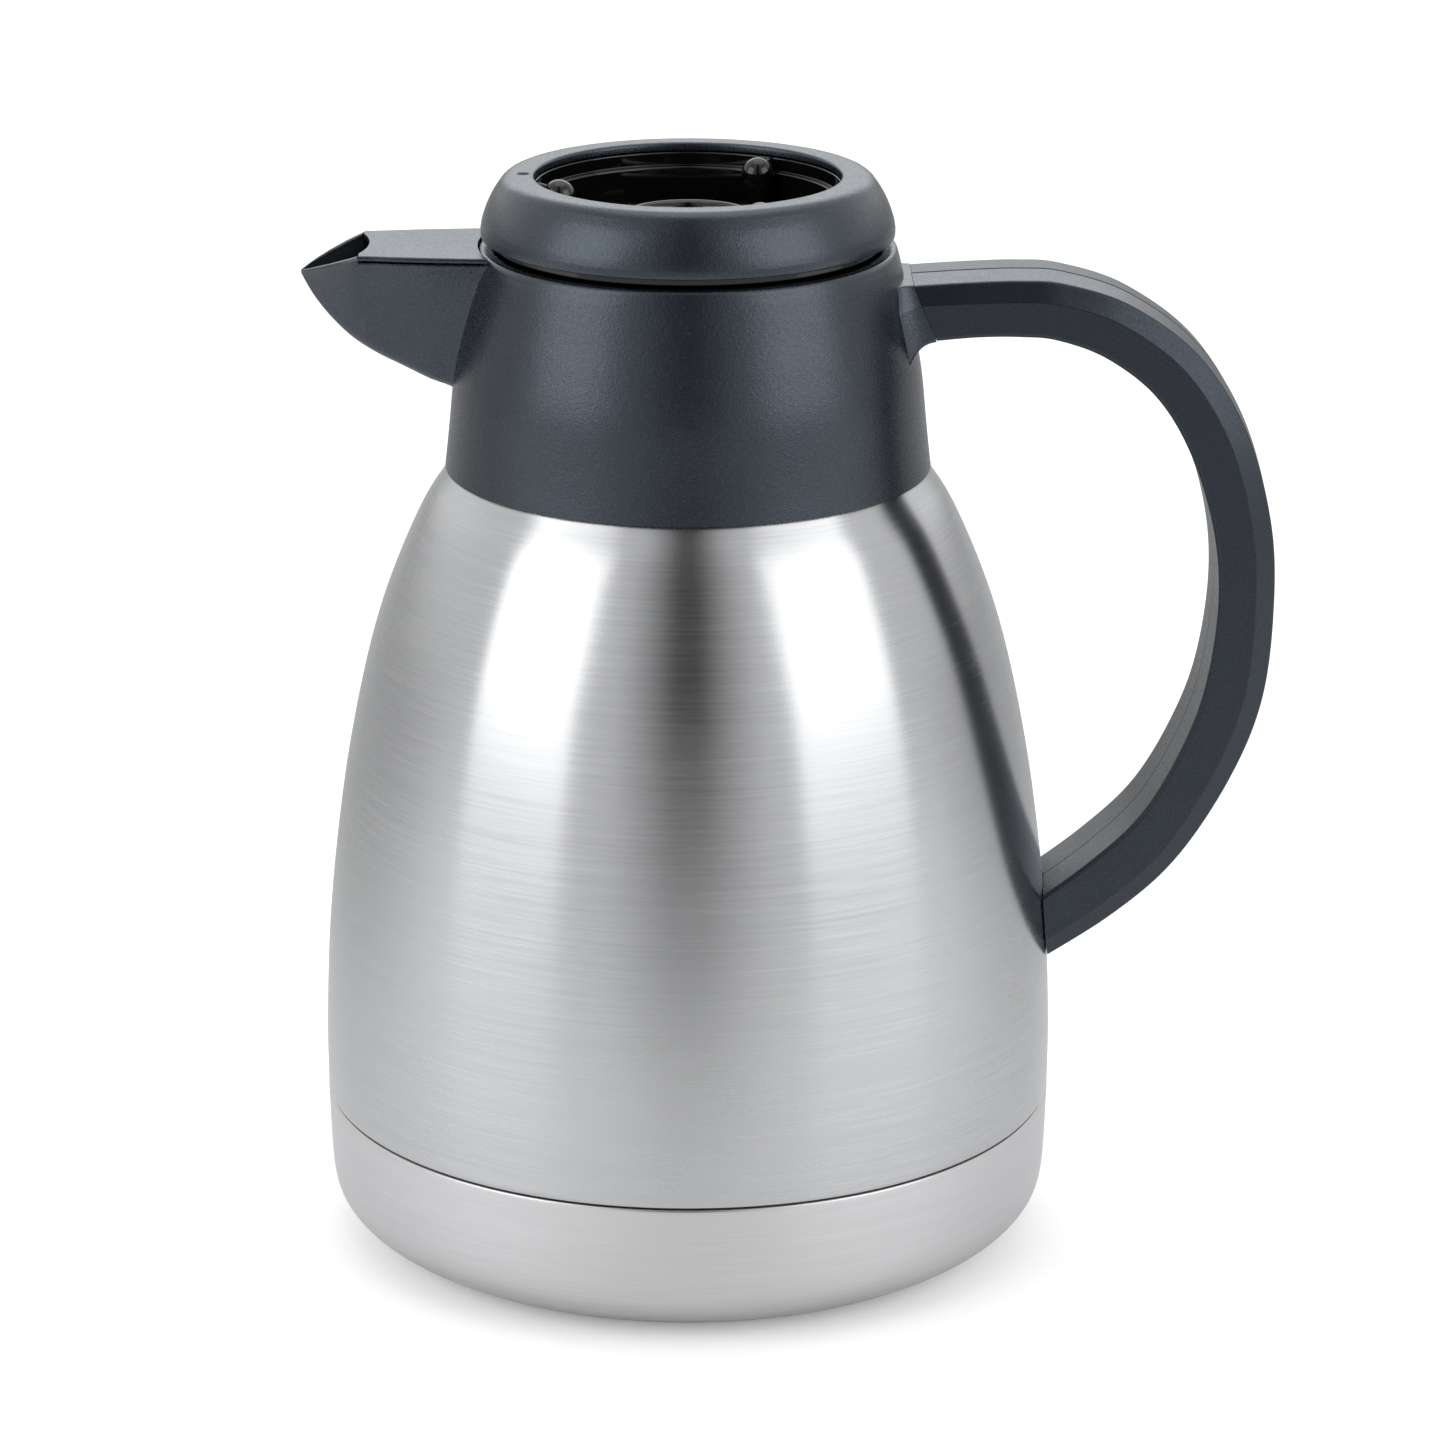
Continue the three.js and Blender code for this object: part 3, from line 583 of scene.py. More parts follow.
COLLAR_SIDE = smooth_line([
    [49.65, 164], [49.1, 168.7], [48.6, 173.5], [47.6, 183.4], [46.1, 191.8], [44.7, 198.5],
    [43.2, 205.6], [42.5, 208.3],
], 60)
COLLAR_BORE = np.array([
    [49.3, 164.1], [47.2, 167.4], [46.4, 172], [45.2, 183.4], [43.7, 191.8], [42.5, 198.5],
    [41.5, 203.5], [41.5, COLLAR_TOP - LIP_DEPTH], [LIP_R, COLLAR_TOP - LIP_DEPTH],
    [LIP_R, COLLAR_TOP - 0.3], [LIP_R + 0.1, COLLAR_TOP - 0.1], [LIP_R + 0.35, COLLAR_TOP],
])
COLLAR_EDGE = np.array([[42.42, 208.6], [42.25, 209.0], [41.95, 209.3], [41.5, COLLAR_TOP]])

ROOT_SLANT = 0.423
WALL_TOP = 208.4
PLATE_END = 66.0
PLATE_LOW = WALL_TOP + GAP
PLATE_HIGH = 209.7
CHANNEL_FLOOR = 190.4
TIP = 78.3

# Along the spout: distance out, half width, height of the keel.
SPOUT_LINE = [
    [36, 15, 176], [42, 14.55, 177.6], [47.8, 14.1, 179.4], [53, 13.7, 181.8], [58.1, 13.3, 184.4],
    [62.5, 12.95, 186.6], [66.4, 12.4, 189.0], [69.5, 10.8, 191.5], [72.9, 8, 195.1],
    [75.6, 5, 198.7], [77.3, 2.6, 201.6], [TIP, 0.7, 203.6],
]
# Height of the side walls from the plate's end to the tip.
RIM_LINE = [[PLATE_END + 0.08, 209.5], [69.5, 208.2], [72.9, 206.8], [75.6, 205.6], [77.3, 204.75],
            [TIP, 204.25]]
# Height at which the flanks reach their full half width.
FULL_LINE = [[43, WALL_TOP], [50, WALL_TOP], [58, 208.75], [64, 209.25]] + RIM_LINE[1:]


def spout_side(share):
    """Share of the half width at a share of the height above the keel: a rounded keel,
    straight flanks that lean out, and a slight belly below the rim."""
    return 0.2 * (1 - np.exp(-share / 0.03)) + 0.6 * share + 0.2 * share ** 4


def spout_stations():
    """Rows of x, half width, keel, rim and the height of the full half width. The rim lies
    under the plate up to its end."""
    line = smooth_line(SPOUT_LINE, 90)
    x = np.concatenate([np.linspace(43, PLATE_END + 0.02, 26),
                        np.linspace(PLATE_END + 0.08, TIP, 44)])
    half, keel = (np.interp(x, line[:, 0], line[:, k]) for k in (1, 2))
    rim = np.where(x < PLATE_END + 0.05, WALL_TOP, np.interp(x, *np.array(RIM_LINE).T))
    full = np.interp(x, *smooth_line(FULL_LINE, 90).T)
    return np.stack([x, half, keel, rim, np.maximum(full, rim)], axis=-1)


def collar_middle(z):
    """Radius half way through the collar's wall at a height."""
    outer = np.interp(z, COLLAR_SIDE[:, 1], COLLAR_SIDE[:, 0])
    inner = np.interp(z, COLLAR_BORE[:7, 1], COLLAR_BORE[:7, 0])
    return (outer + inner) / 2


def channel_half(half, wall, share):
    return np.maximum(half * spout_side(share) - wall, 0.0)


def spout_shell():
    """A trough of V-shaped sections: up the outside of a flank, over a round rim, down the
    inside to the channel's floor, and the mirror of that. Wall and floor thin to the tip."""
    x, half, keel, top, full = (column[:, None] for column in spout_stations().T)
    near_tip = np.clip((x - 68) / 9, 0, 1)
    wall = np.minimum(1.9 - 0.95 * near_tip, 0.42 * half)
    height = top - keel
    floor = np.maximum(CHANNEL_FLOOR, keel + (2.6 - 1.6 * near_tip) * np.minimum(height / 6, 1))
    rim = np.minimum(0.45, 0.3 * wall)
    up = np.concatenate([np.array([0, 0.004, 0.012, 0.025, 0.05]), np.linspace(0.09, 1, 20)])
    outside_z = keel + up * (height - rim)
    outside_y = half * spout_side((outside_z - keel) / (full - keel))
    bend = np.radians([15, 45, 75])
    over = outside_y[:, -1:]
    inward = rim * (1 - np.cos(bend))
    rim_y = np.hstack([over - inward, over - wall + inward[:, ::-1]])
    rim_z = top - rim + rim * np.sin(np.concatenate([bend, bend[::-1]])) + 0 * x
    down = np.linspace(1, 0, 16)
    inside_z = floor + down * (top - rim - floor)
    inside_y = channel_half(half, wall, (inside_z - keel) / (full - keel))
    inside_y[:, -1] = inside_y[:, -2] * 0.7
    y = np.hstack([outside_y, rim_y, inside_y])
    z = np.hstack([outside_z, rim_z, inside_z])
    y, z = np.hstack([y, -y[:, ::-1]]), np.hstack([z, z[:, ::-1]])
    wall_x = np.sqrt(np.maximum(collar_middle(z) ** 2 - y ** 2, 0))
    share = np.clip((x - 44) / 8, 0, 1)
    out = np.maximum(wall_x * (1 - share) + np.maximum(x, wall_x) * share, np.where(x > 52, x, 0))
    return skinned(np.stack([-out, y, z], axis=-1))


def channel_cutter():
    """The channel where it goes through the collar's wall, a hair wider than the spout's."""
    x = np.array([28.0, 36.0, 47.8, 56.0])[:, None]
    half, keel = (np.interp(x, *np.array(SPOUT_LINE)[:, [0, k]].T) for k in (1, 2))
    z = CHANNEL_FLOOR + np.linspace(0, 1, 10) * (WALL_TOP - 0.7 - CHANNEL_FLOOR) + 0 * x
    y = channel_half(half, 1.85, (z - keel) / (WALL_TOP - keel))
    y, z = np.hstack([y, -y[:, ::-1]]), np.hstack([z, z[:, ::-1]])
    return skinned(np.stack([-x + 0 * y, y, z], axis=-1))


def root_end(z):
    """Where the stub ends and the handle begins: it slants back to the collar at the top."""
    return ROOT_X - ROOT_SLANT * np.clip(z - ARM_BOTTOM, 0, None)


def handle_root():
    """Stub that flares into the collar: half width 12 + 4e and lower edge 192.2 - 8e, where
    e falls off as exp(-distance / 1.8 mm)."""
    distance = np.concatenate([[0], np.geomspace(0.25, 6.4, 24)])
    flare = np.exp(-distance / 1.8)[:, None]
    corners = rounded([(-12, 0, 0.8), (12, 0, 0.8), (12, 7.1, 0.6), (10, 11.1, 0.6),
                       (-10, 11.1, 0.6), (-12, 7.1, 0.6)])
    corners = np.roll(corners, len(corners) // 4, axis=0)
    y = corners[:, 0] * (1 + flare * 4 / 12)
    drop = np.clip(1 - corners[:, 1] / 9, 0, 1) * 8
    z = ARM_BOTTOM + corners[:, 1] - flare * drop
    wall_x = np.sqrt(collar_middle(z) ** 2 - y ** 2)
    share = (distance / distance[-1])[:, None]
    x = wall_x + (root_end(z) - wall_x) * share ** 0.85
    return skinned(np.stack([x, y, z], axis=-1))


def collar_wall():
    outline = np.vstack([[49.45, 163.98], COLLAR_SIDE, COLLAR_EDGE, COLLAR_BORE[::-1]])
    return shape_of(cut_away(spun(outline), channel_cutter()))


def spout_plate():
    """Cover plate: a thin slab with round edges. One end follows the collar's round, the
    other is hollowed by 1.6 mm in an arc, and the sides follow the spout."""
    share = np.linspace(0, 1, 40)[:, None]
    rows = spout_stations()[:26]
    edge_half = rows[:, 1] * spout_side((WALL_TOP - rows[:, 2]) / (rows[:, 4] - rows[:, 2]))
    half = np.interp(40.5 + share * (PLATE_END - 40.5), rows[:, 0], edge_half)
    flat = np.linspace(-0.92, 0.92, 25)
    edge = np.array([[-0.60, PLATE_LOW], [-0.25, PLATE_LOW + 0.02], [-0.05, PLATE_LOW + 0.14],
                     [0, PLATE_LOW + 0.35], [0, PLATE_HIGH - 0.45], [-0.07, PLATE_HIGH - 0.2],
                     [-0.25, PLATE_HIGH - 0.05], [-0.60, PLATE_HIGH]])
    right = half + edge[:, 0]
    y = np.hstack([right, -flat * half, -right[:, ::-1], flat * half])
    z = np.concatenate([edge[:, 1], np.full(25, PLATE_HIGH), edge[::-1, 1], np.full(25, PLATE_LOW)])
    # The loop starts in the middle of its +Y edge, so that the end strips join top to bottom.
    y, z = np.roll(y, -4, axis=1), np.roll(z, -4) + 0 * half
    start = np.sqrt((COLLAR_EDGE[0, 0] + 0.1) ** 2 - y ** 2)
    end = PLATE_END - 1.6 * (1 - np.clip(np.abs(y) / 9.2, 0, 1) ** 2)
    return skinned(np.stack([-(start + (end - start) * share), y, z], axis=-1))


def in_channel(centres):
    """Faces inside the open end of the spout's trough; they get the darker material that paints
    shade there.
    """
    x, y, z = -centres[:, 0], np.abs(centres[:, 1]), centres[:, 2]
    rows = spout_stations()
    half, keel, top, full = (np.interp(x, rows[:, 0], rows[:, k]) for k in (1, 2, 3, 4))
    share = np.clip((z - keel) / (full - keel), 0, 1)
    within = (x > 50) & (x < TIP - 0.3) & (y < half * spout_side(share) - 0.5) & (z > keel + 0.5)
    return within & ((z < top - 0.35) | (x < PLATE_END + 0.3))


# The faces inside the spout's channel take the second material, which is painted shade.
piece("collar_wall", together(collar_wall(), spout_shell(), handle_root()), MATTE, "pot",
      ["collar"], sharp=38, shaded_faces=(CHANNEL, in_channel))
piece("spout_lid_plate", spout_plate(), MATTE, "pot", ["spout_cover"], sharp=50)

# ------------ neck ring, gasket, threads

THREAD_PITCH = 8.0


def thread_ridge(root, crest, start, sweep, low):
    """Helical ridge: it climbs 8 mm a turn, and its height above the root eases in and out
    over the first and last 7 degrees as a quarter sine."""
    turn = np.linspace(0, sweep, 43)[:, None]
    ease = np.sin(np.clip(np.minimum(turn, sweep - turn) / 7, 0, 1) * math.pi / 2)
    share = np.array([0, 0.62, 0.92, 1, 1, 0.92, 0.62, 0])
    rise = np.array([-1.2, -0.85, -0.68, -0.45, 0.45, 0.68, 0.85, 1.2])
    r = root + share * (crest - root) * ease
    a = np.radians(start + turn)
    z = low + rise * (0.3 + 0.7 * ease) + THREAD_PITCH * turn / 360
    return skinned(np.stack([r * np.cos(a), r * np.sin(a), z], axis=-1))


def neck_ring():
    """Bush inside the collar: a skirt round the steel neck, a shelf for the seal, the bore
    with three thread ridges, and the port to the spout."""
    top = COLLAR_TOP - LIP_DEPTH - GAP
    levels = np.linspace(190.2, 206, 8)
    outside = np.column_stack([np.full(8, 41.2), levels])
    inside = np.column_stack([np.full(8, 39.4), levels[::-1]])
    low_edge = [[38.5, 182.6], [40.6, 182.6], [40.85, 182.9], [41.15, 189.5]]
    lip = [[41.2, top - 0.3], [40.9, top], [39.8, top], [39.5, top - 0.12], [39.4, top - 0.4]]
    shelf = [[36.9, 190.2], [36.65, 190.1], [36.6, 189.9], [36.6, 188.9], [36.8, 188.6],
             [38.3, 188.6], [38.5, 188.4]]
    outline = np.array([*low_edge, *outside, *lip, *inside, *shelf])
    first, second = len(low_edge), len(low_edge) + 8 + len(lip)
    port = window(first, second, 8, range(134, 155))      # 12.5 degrees to each side of 180
    ring = spun(outline, holes=[port])
    ridges = [thread_ridge(39.9, 38.7, start, 63, 199) for start in (210, 330, 90)]
    return together(ring, *ridges)


piece("neck_bush", neck_ring(), SATIN_BLACK, "pot", ["neck_ring"], sharp=45)
piece("neck_sealing", spun(rounded([(36.9, 187.3, 0.25), (38.2, 187.3, 0.25), (38.2, 188.3, 0.25),
                                    (36.9, 188.3, 0.25)]), ring_angles(192)),
      SILICONE, "pot", ["neck_gasket"], sharp=60)

# ------------ handle

OUTER_EDGE = [
    [45.45, ARM_TOP - 0.1], [56, 203.85], [67, 204.2], [76, 203.5], [89.2, 199.1], [103.1, 188.8],
    [113.1, 173.2], [118.7, 154], [119.9, 136], [118.1, 116], [111.8, 98.6], [101.1, 81.2],
    [88.1, 69], [70, 56.9],
]
INNER_EDGE = [
    [ROOT_X + 0.08, ARM_BOTTOM], [58.6, 192.9], [67, 192.95], [74.5, 192.2], [84.5, 188.4],
    [94.6, 180.4], [101.9, 168.4], [106.9, 152.5], [108.3, 137], [106.1, 119.1], [101.2, 105],
    [93.5, 91.5], [82.9, 81], [70.2, 71.2],
]
CROWN = 0.4


def handle_half(side):
    """One half of the handle: a C-shaped section carried along the pair of edge curves, its
    open side on the seam. The section's outer part moves with the handle's thickness. At
    the lower end every line of the sweep stops 0.3 mm before the steel body."""
    steps, nominal = 200, 12.0
    outer, inner = smooth_line(OUTER_EDGE, steps), smooth_line(INNER_EDGE, steps)
    across = outer - inner
    thick = np.hypot(*across.T)[:, None]
    outward = across / thick
    seam, cavity = GAP / 2, HANDLE_HALF - HANDLE_WALL
    crown, skin, hair = nominal + CROWN, nominal - HANDLE_WALL, 0.01
    section = rounded([
        (-0.12, seam), (-0.12, seam + hair), (0, HANDLE_HALF, 0.9),
        (nominal - BEVEL, HANDLE_HALF, 0.7), (nominal, FACE_HALF, 0.8), (crown, seam + 0.35),
        (crown - 0.25, seam), (skin, seam), (skin, seam + hair), (skin, cavity, 1.5),
        (6.2, cavity, 0.4), (HANDLE_WALL, cavity, 0.8), (HANDLE_WALL, seam + hair),
        (HANDLE_WALL, seam)], closed=False)
    a = section[:, 0] + (section[:, 0] > nominal / 2) * (thick - nominal)
    x = inner[:, :1] + outward[:, :1] * a
    z = inner[:, 1:] + outward[:, 1:] * a
    y = np.broadcast_to(section[:, 1], x.shape)
    points = np.stack([x, y, z], axis=-1)

    room = np.hypot(x, y) - body_radius(z) - GAP
    inside = (room < 0) & (np.arange(steps)[:, None] > steps // 2)
    first = inside.argmax(axis=0)
    column = np.arange(len(section))
    before, after = room[first - 1, column], room[first, column]
    stop = first - 1 + before / (before - after)
    start = first.min() - 3
    at = start + (stop - start) * np.linspace(0, 1, 16)[1:, None]
    k = at.astype(int)
    f = (at - k)[..., None]
    ending = points[k, column] * (1 - f) + points[np.minimum(k + 1, steps - 1), column] * f
    shape = np.concatenate([points[:start + 1], ending])
    shape[..., 1] *= side
    return skinned(shape)


def handle_screw():
    """Pan-head screw along Z with its head up: shank, domed head, and a cross cut into it."""
    head = rounded([(0, -9), (1.4, -9, 0.3), (1.4, 10.0, 0.1), (2.8, 10.0, 0.15), (2.8, 11.3, 0.5),
                    (1.9, 11.75, 0.5), (0, 11.85)])
    return shape_of(cut_away(spun(head, ring_angles(48)), *cross_slot(10.9, 13)))


def screw_places(shape):
    """The shape laid along Y at each handle screw."""
    x, y, z = np.asarray(shape[0]).T
    laid = np.stack([x, z, -y], axis=-1)
    return {key: (laid + [px, 0, pz], shape[1]) for key, (px, pz) in HANDLE_SCREWS.items()}


recess = screw_places(round_bar(3.1, 9.7, 13.0))
piece("grip_right", shape_of(cut_away(handle_half(1), *recess.values())), GRIP, "pot",
      ["handle_half_right"], sharp=32)
piece("grip_left", handle_half(-1), GRIP, "pot", ["handle_half_left"], sharp=32)
for key, shape in screw_places(handle_screw()).items():
    piece(f"grip_screw_{key}", shape, INNER_STEEL, "pot", [f"handle_screw_{key}"], sharp=40)

# ------------ lid

DIMPLE_X, DIMPLE_R, DIMPLE_RISE = -33.2, 1.6, 0.9


def lid_cap():
    """Tapering ring with a flat top and round edges; a ball of 1.6 mm, its centre 0.9 mm
    above the top, presses a small dimple towards the spout."""
    side = smooth_line([[41.9, 213.4], [41.55, 215.2], [40.6, 217.9], [39.3, 220.5],
                        [37.75, 222.75]], 26)
    top_out = np.array([[37.3, 223.2], [36.8, 223.58], [36.2, 223.85], [35.5, 223.97]])
    top = np.column_stack([np.linspace(35.2, 31.75, 26), np.full(26, CAP_TOP)])
    rest = np.array([[31.5, 223.96], [31.25, 223.86], [31.07, 223.65], [BOWL_R, 223.35],
                     [BOWL_R, 222.4], [35.0, 222.1], [37.4, 219.4], [39.4, 215.4],
                     [39.8, CAP_LOW + 0.3], [40.0, CAP_LOW]])
    low = np.array([[41.2, 0], [41.55, 0.04], [41.8, 0.22], [41.88, 0.55]]) + [0, CAP_LOW]
    points, faces = spun(np.vstack([low, side, top_out, top, rest]),
                         ring_angles(256, dense_at=180))
    reach = DIMPLE_R ** 2 - (points[:, 0] - DIMPLE_X) ** 2 - points[:, 1] ** 2
    ball = CAP_TOP + DIMPLE_RISE - np.sqrt(np.maximum(reach, 0))
    near = (reach > 0) & (points[:, 2] > CAP_TOP - 0.2)
    points[:, 2] = np.where(near, np.minimum(points[:, 2], ball), points[:, 2])
    return points, faces


HEAD_BALL = 3.35            # radius of a post's round head
HEAD_CENTRE = 219.45
POST_FOOT = 206.2           # inside the bowl's floor


def bowl_post(degrees):
    """Post: a slim shaft with a ball for a head, and a web with a round top that ties it to
    the bowl's wall."""
    foot = np.array([[0, POST_FOOT], [2.4, POST_FOOT], [2.4, 216.8]])
    arc = np.radians(np.linspace(-44.2, 90, 20))
    ball = np.column_stack([HEAD_BALL * np.cos(arc), HEAD_CENTRE + HEAD_BALL * np.sin(arc)])
    shaft = spun(np.vstack([foot, ball]), ring_angles(56))
    half = 0.75
    bend = np.radians(np.linspace(0, 90, 7))
    right = np.vstack([[half, 206.5], [half, 215.0], [half, 219.0],
                       np.column_stack([half * np.cos(bend), 221.5 + half * np.sin(bend)])])
    loop = np.vstack([right, right[::-1] * [-1, 1]])
    x = np.array([POST_R, POST_R + 2.2, POST_R + 3.4, 30.72])[:, None]
    dip = np.array([0.9, 0.6, 0.2, 0.0])[:, None] * (loop[:, 1] > 219)
    web = skinned(np.stack([x + 0 * loop[:, 0], loop[:, 0] + 0 * x, loop[:, 1] - dip], axis=-1))
    return together(placed(shaft, degrees, POST_R), placed(web, degrees))


def screw_boss(degrees):
    """Boss under the bowl's floor, with the hole for a screw."""
    top = POST_FOOT + 0.1
    solid = spun(rounded([(0, 176.8), (2.9, 176.8, 0.3), (2.9, top, 0.1), (0, top)]),
                 ring_angles(56))
    drilled = shape_of(cut_away(solid, round_bar(SCREW_HOLE_R, 172, 190, 32)))
    return placed(drilled, degrees, POST_R)


def lid_bowl():
    """Bowl: floor with a round corner, a wall that leans out to a narrow ledge, a wall above
    it up to the cap, and the flange under the cap. Three posts stand in it."""
    outline = rounded([
        (13.2, FLOOR_Z - 2), (31.2, FLOOR_Z - 2, 0.5), (31.2, LEDGE_Z - 1, 0.4),
        (32.4, 220.4, 0.3), (34.6, 220.4, 0.2), (34.6, 221.5, 0.3), (31.5, 222.05, 0.3),
        (30.7, 222.05, 0.3), (30.7, LEDGE_Z, 0.2), (29.5, LEDGE_Z - 0.2, 0.45),
        (28.9, FLOOR_Z, 1.6), (13.2, FLOOR_Z, 0.2)])
    return together(spun(outline), *[bowl_post(a) for a in BOWL_POSTS],
                    *[screw_boss(a) for a in POST_ANGLES])


def stopper():
    """Stopper: plug with six centring ribs, flange over the seal, threaded wall with three
    ridges, and the glossy band that shows between collar and cap."""
    low = COLLAR_TOP + 0.4
    outline = rounded([
        (PLUG_R - 2, PLUG_LOW, 0.2), (PLUG_R, PLUG_LOW, 0.5), (PLUG_R, 190.3, 0.2),
        (36.1, 190.3, 0.3), (36.1, 192, 0.4), (WALL_R, 192.8, 0.4), (WALL_R, low, 0.3),
        (BAND_R, low, 0.35), (BAND_R, 213.8, 0.3), (WALL_R - 2, 213.8, 0.2),
        (WALL_R - 2, 193, 0.3), (PLUG_R + 1.8, 192.4, 0.2), (PLUG_R - 2, 192.4, 0.2)])
    half = 0.9
    bend = np.radians(np.linspace(-80, 80, 9))
    nose = [PLUG_R + half, 0] + half * np.column_stack([np.cos(bend), np.sin(bend)])
    root = [[PLUG_R - 1, y] for y in (half, 0.3, -0.3, -half)]
    loop = np.vstack([nose, root, [[PLUG_R, -half]]])
    z = np.array([177.6, 178.0, 184.8, 185.7, 186.0])[:, None]
    pull = np.array([0.5, 0, 0, 0.3, 1.2])[:, None] * (loop[:, 0] > PLUG_R)
    rib = skinned(np.stack([loop[:, 0] - pull, loop[:, 1] + 0 * z, z + 0 * loop[:, 0]], axis=-1))
    ribs = [placed(rib, 30 + 60 * k) for k in range(6)]
    ridges = [thread_ridge(WALL_R - 0.5, 38.3, start, 63, 195.6) for start in (225, 345, 105)]
    return together(spun(outline), *ribs, *ridges)


def stopper_base():
    """Plate under the stopper, with a hole for each lid screw."""
    plate = spun(rounded([(TUBE_R + 0.7, 174, 0.2), (PLUG_R, 174, 1.0), (PLUG_R, 176.3, 0.2),
                          (TUBE_R + 0.7, 176.3, 0.2)]), ring_angles(192))
    holes = [placed(round_bar(SCREW_HOLE_R, 172, 180, 32), a, POST_R) for a in POST_ANGLES]
    return shape_of(cut_away(plate, *holes))


QUARTERS = (24, 72, 120, 168)       # columns at 45 degrees and every quarter turn of 192


def brew_funnel():
    """Brew tube: flange on the bowl's floor, four drain slots, and a rolled lip."""
    levels = np.linspace(209.9, 213.4, 4)
    tube = [[TUBE_BORE + 0.2, 171], [TUBE_R - 0.2, 171], [TUBE_R, 171.2], [TUBE_R, 208.3],
            [15.3, 208.3], [15.6, 208.5], [15.6, 209.3], [15.3, 209.6], [13.2, 209.6]]
    outside = np.column_stack([np.full(4, TUBE_R + 0.3), levels])
    lip = smooth_line([[TUBE_R + 0.3, 213.8], [13.2, 214.3], [13.8, 214.8], [13.95, 215.4],
                       [13.6, 215.85], [12.9, 216.0], [12.2, 215.85], [11.5, 215.2],
                       [TUBE_BORE, 214.1]], 26)
    inside = np.column_stack([np.full(4, TUBE_BORE), levels[::-1]])
    outline = np.vstack([tube, outside, lip, inside, [[TUBE_BORE, 171.2]]])
    first, second = len(tube), len(tube) + 4 + len(lip)
    holes = [window(first, second, 4, range(middle - 8, middle + 9)) for middle in QUARTERS]
    return spun(outline, ring_angles(192), holes)


def o_ring(radius, centre_r, centre_z):
    return spun(circle(radius, 20) + [centre_r, centre_z], ring_angles(128))


def valve_cage():
    """Cup clipped on the tube, with four windows and an open floor."""
    levels = np.linspace(165, 169.5, 4)
    low = [[7.5, 162.6], [7.7, 162.4], [13.4, 162.4], [14.1, 162.7], [14.4, 163.3]]
    outside = np.column_stack([np.full(4, 14.4), levels])
    top = [[14.4, 173.1], [14.15, 173.4], [13.2, 173.4], [13.0, 173.2]]
    inside = np.column_stack([np.full(4, 13.0), levels[::-1]])
    rest = [[13.0, 164.5], [12.6, 164.2], [7.7, 164.2], [7.5, 164.0]]
    outline = np.array([*low, *outside, *top, *inside, *rest])
    first, second = len(low), len(low) + 4 + len(top)
    holes = [window(first, second, 4, range(middle - 14, middle + 15)) for middle in QUARTERS]
    return spun(outline, ring_angles(192), holes)


def float_valve():
    """Light button: a flat underside, a rim, and a cone that rises into the tube."""
    return spun(rounded([(0, 164.5), (8.5, 164.5, 0.6), (12.2, 165.6, 0.4), (12.2, 167, 0.4),
                         (9.8, 168, 0.6), (2, 172, 1.2), (0, 172.4)]), ring_angles(96))


def lid_screw(degrees):
    top = 174 - GAP
    screw = spun(rounded([(0, top - 1.7), (2.2, top - 1.7, 0.3), (2.8, top - 1.1, 0.3),
                          (2.8, top, 0.1), (1.4, top, 0.1), (1.4, 188, 0.3), (0, 188)]),
                 ring_angles(48))
    return placed(shape_of(cut_away(screw, *cross_slot(top - 3, top - 0.8))), degrees, POST_R)


seal = rounded([(PLUG_R + GAP, 187.4, 0.2), (35.4, 187.4, 0.4), (36.1, 188.2, 0.4),
                (36.1, 189.2, 0.4), (35.6, 190, 0.4), (PLUG_R + GAP, 190, 0.2)])
piece("cap_ring", lid_cap(), MATTE, "lid", ["lid_cap"], sharp=50)
piece("bowl", lid_bowl(), GLOSS, "lid", ["lid_bowl"], sharp=50)
piece("stopper_body", stopper(), GLOSS, "lid", ["stopper"], sharp=50)
piece("stopper_plate", stopper_base(), SATIN_BLACK, "lid", ["stopper_base"], sharp=45)
piece("brew_tube", brew_funnel(), GLOSS, "lid", ["brew_funnel"], sharp=50)
piece("tube_cage", valve_cage(), SATIN_BLACK, "lid", ["valve_cage"], sharp=45)
piece("float_button", float_valve(), SATIN_BLACK, "valve", ["float_valve"], sharp=50)
piece("stopper_seal", spun(seal, ring_angles(192)), SILICONE, "lid_seal", ["seal_ring"], sharp=60)
piece("tube_ring", o_ring(1.0, TUBE_R + 1.5, FLOOR_Z - 2 - GAP - 1), SILICONE, "lid_carrier",
      ["funnel_seal"])
for number, degrees in enumerate(POST_ANGLES, 1):
    piece(f"stopper_screw_{number}", lid_screw(degrees), INNER_STEEL, "lid",
          [f"lid_screw_{number}"], sharp=40)

for name in ("getter_pad", "handle_bracket"):
    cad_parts[name].data.materials.clear()
    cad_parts[name].data.materials.append(INNER_STEEL)

# ------------ floor, light and camera


FLOOR_FRONT = -0.38         # the table ends here in front, m


def floor_material():
    """Pale floor with painted shade: its colour darkens behind the pot, which shows in reflections;
    seen directly, a painted glow lifts it to an even white."""
    material, tree, surface = shader("floor_white", "", Specular_IOR_Level=0.2, Roughness=0.6)
    place = node(tree, "ShaderNodeSeparateXYZ", {0: place_coordinates(tree)}).outputs
    cloud = remap(tree, noise(tree, place_coordinates(tree), 3.0), 0.0, 1.0, -0.02, 0.02)
    # painted shade: the floor's colour is darker towards the back
    shade = math_node(tree, "ADD", remap(tree, place["Y"], -0.05, 0.30, 0.90, 0.42), cloud)
    grey = node(tree, "ShaderNodeCombineColor", {0: shade, 1: shade, 2: shade}).outputs[0]
    # painted glow that only camera rays meet, lifting the floor to an even white
    seen = node(tree, "ShaderNodeLightPath").outputs["Is Camera Ray"]
    lift = math_node(tree, "MULTIPLY_ADD", shade, -1.0, 1.12)
    feed(tree, surface, {"Base Color": grey, "Emission Color": (1, 1, 1, 1),
                         "Emission Strength": times(tree, seen, lift)})
    return material


def floor():
    mesh = bpy.data.meshes.new("floor")
    mesh.from_pydata([(-5, FLOOR_FRONT, 0), (5, FLOOR_FRONT, 0), (5, 6, 0), (-5, 6, 0)], [],
                     [(0, 1, 2, 3)])
    mesh.materials.append(floor_material())
    in_scene("floor", mesh)


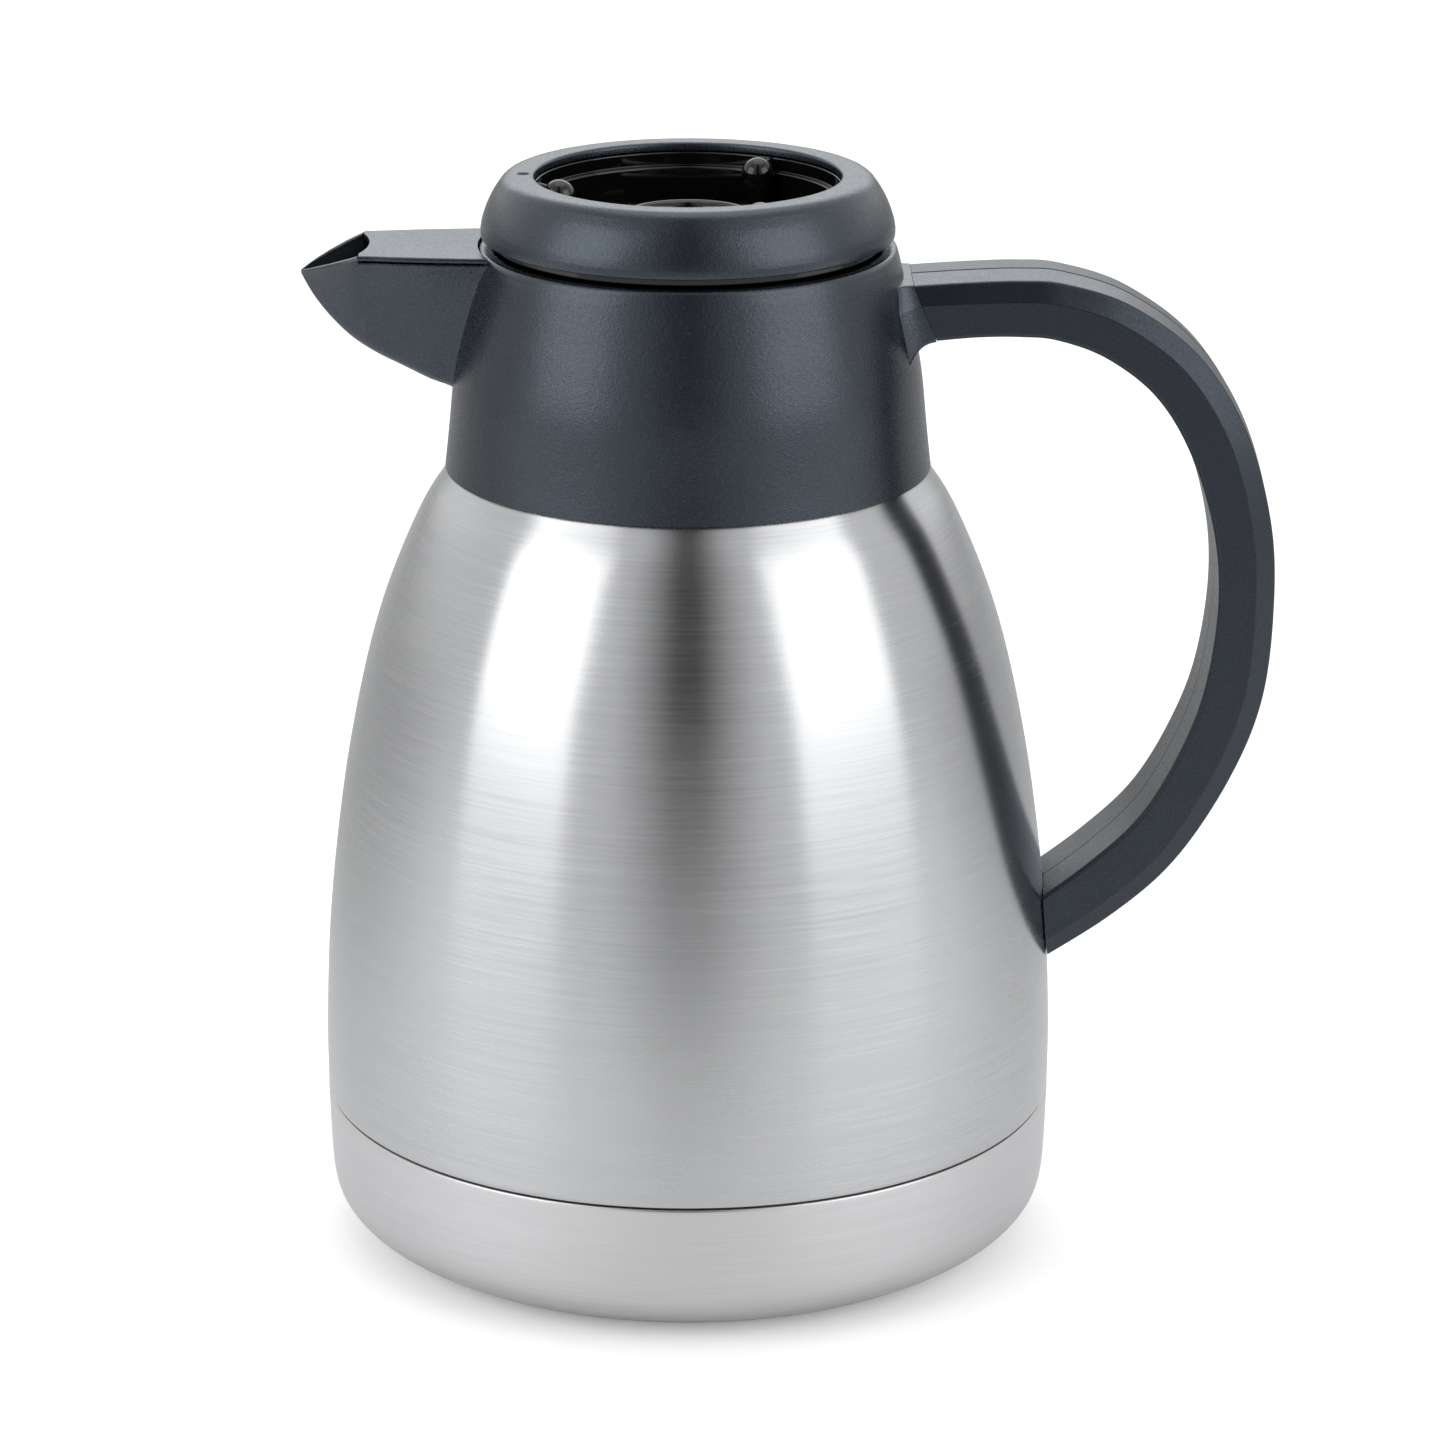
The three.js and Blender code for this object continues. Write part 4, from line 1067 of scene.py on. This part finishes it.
def softbox(name, degrees, height, distance, size, power, tint=(1, 1, 1), aim=0.12):
    """Soft rectangular light of `power` watts, aimed at the axis at the height `aim`.
    degrees is its azimuth from the front, towards +X."""
    light = bpy.data.lights.new(name, "AREA")
    light.shape, light.size, light.size_y = "RECTANGLE", *size
    light.energy, light.color = power, tint
    made = in_scene(name, light)
    a = math.radians(degrees)
    made.location = (distance * math.sin(a), -distance * math.cos(a), height)
    to_target = Vector((0, 0, aim)) - made.location
    made.rotation_euler = to_target.to_track_quat("-Z", "Y").to_euler()


def studio():
    """Pale surroundings with a dark patch in front, within 27 degrees to each side, and from
    80 degrees round to the back a level that rises from low to high."""
    pale, patch = 0.82, -0.78
    world = bpy.data.worlds.new("studio")
    world.use_nodes = True
    tree = world.node_tree
    tree.nodes.clear()
    direction = node(tree, "ShaderNodeTexCoord").outputs["Generated"]
    way = node(tree, "ShaderNodeSeparateXYZ", {0: direction}).outputs
    forward = times(tree, way["Y"], -1.0)
    side = math_node(tree, "ABSOLUTE", math_node(tree, "ARCTAN2", way["X"], forward))
    across = remap(tree, side, math.radians(5), math.radians(27), 1.0, 0.0)
    up = remap(tree, way["Z"], -0.28, 0.12)
    front = times(tree, times(tree, across, up), patch)
    behind = remap(tree, side, math.radians(80), math.radians(125))
    low = remap(tree, way["Z"], -0.04, 0.16, -0.50, 0.24)
    level = math_node(tree, "MULTIPLY_ADD", behind, low, math_node(tree, "ADD", front, pale))
    seen = node(tree, "ShaderNodeLightPath").outputs["Is Camera Ray"]
    strength = math_node(tree, "MAXIMUM", level, seen)
    back = node(tree, "ShaderNodeBackground", {"Color": (1, 1, 1, 1), "Strength": strength})
    out = node(tree, "ShaderNodeOutputWorld")
    tree.links.new(back.outputs[0], out.inputs["Surface"])
    bpy.context.scene.world = world


floor()
studio()
softbox("left_box", -60, 0.75, 1.35, (1.05, 1.2), 7.5)
softbox("right_box", 58, 0.75, 1.35, (1.1, 1.2), 7.2)
softbox("top_box", 170, 1.5, 0.35, (1.1, 1.1), 2.9)
softbox("back_box", 180, 0.95, 1.6, (1.7, 0.8), 4.1, (0.86, 0.94, 1.0))

lens = bpy.data.cameras.new("camera")
lens.lens, lens.sensor_width, lens.shift_x = 134.02, 36.0, 0.0239
camera = in_scene("camera", lens)
camera.location = (0, -1.065, 0.4493)
camera.rotation_euler = (math.radians(72.23), 0, 0)
bpy.context.scene.camera = camera
bpy.context.scene.view_settings.view_transform = "Standard"
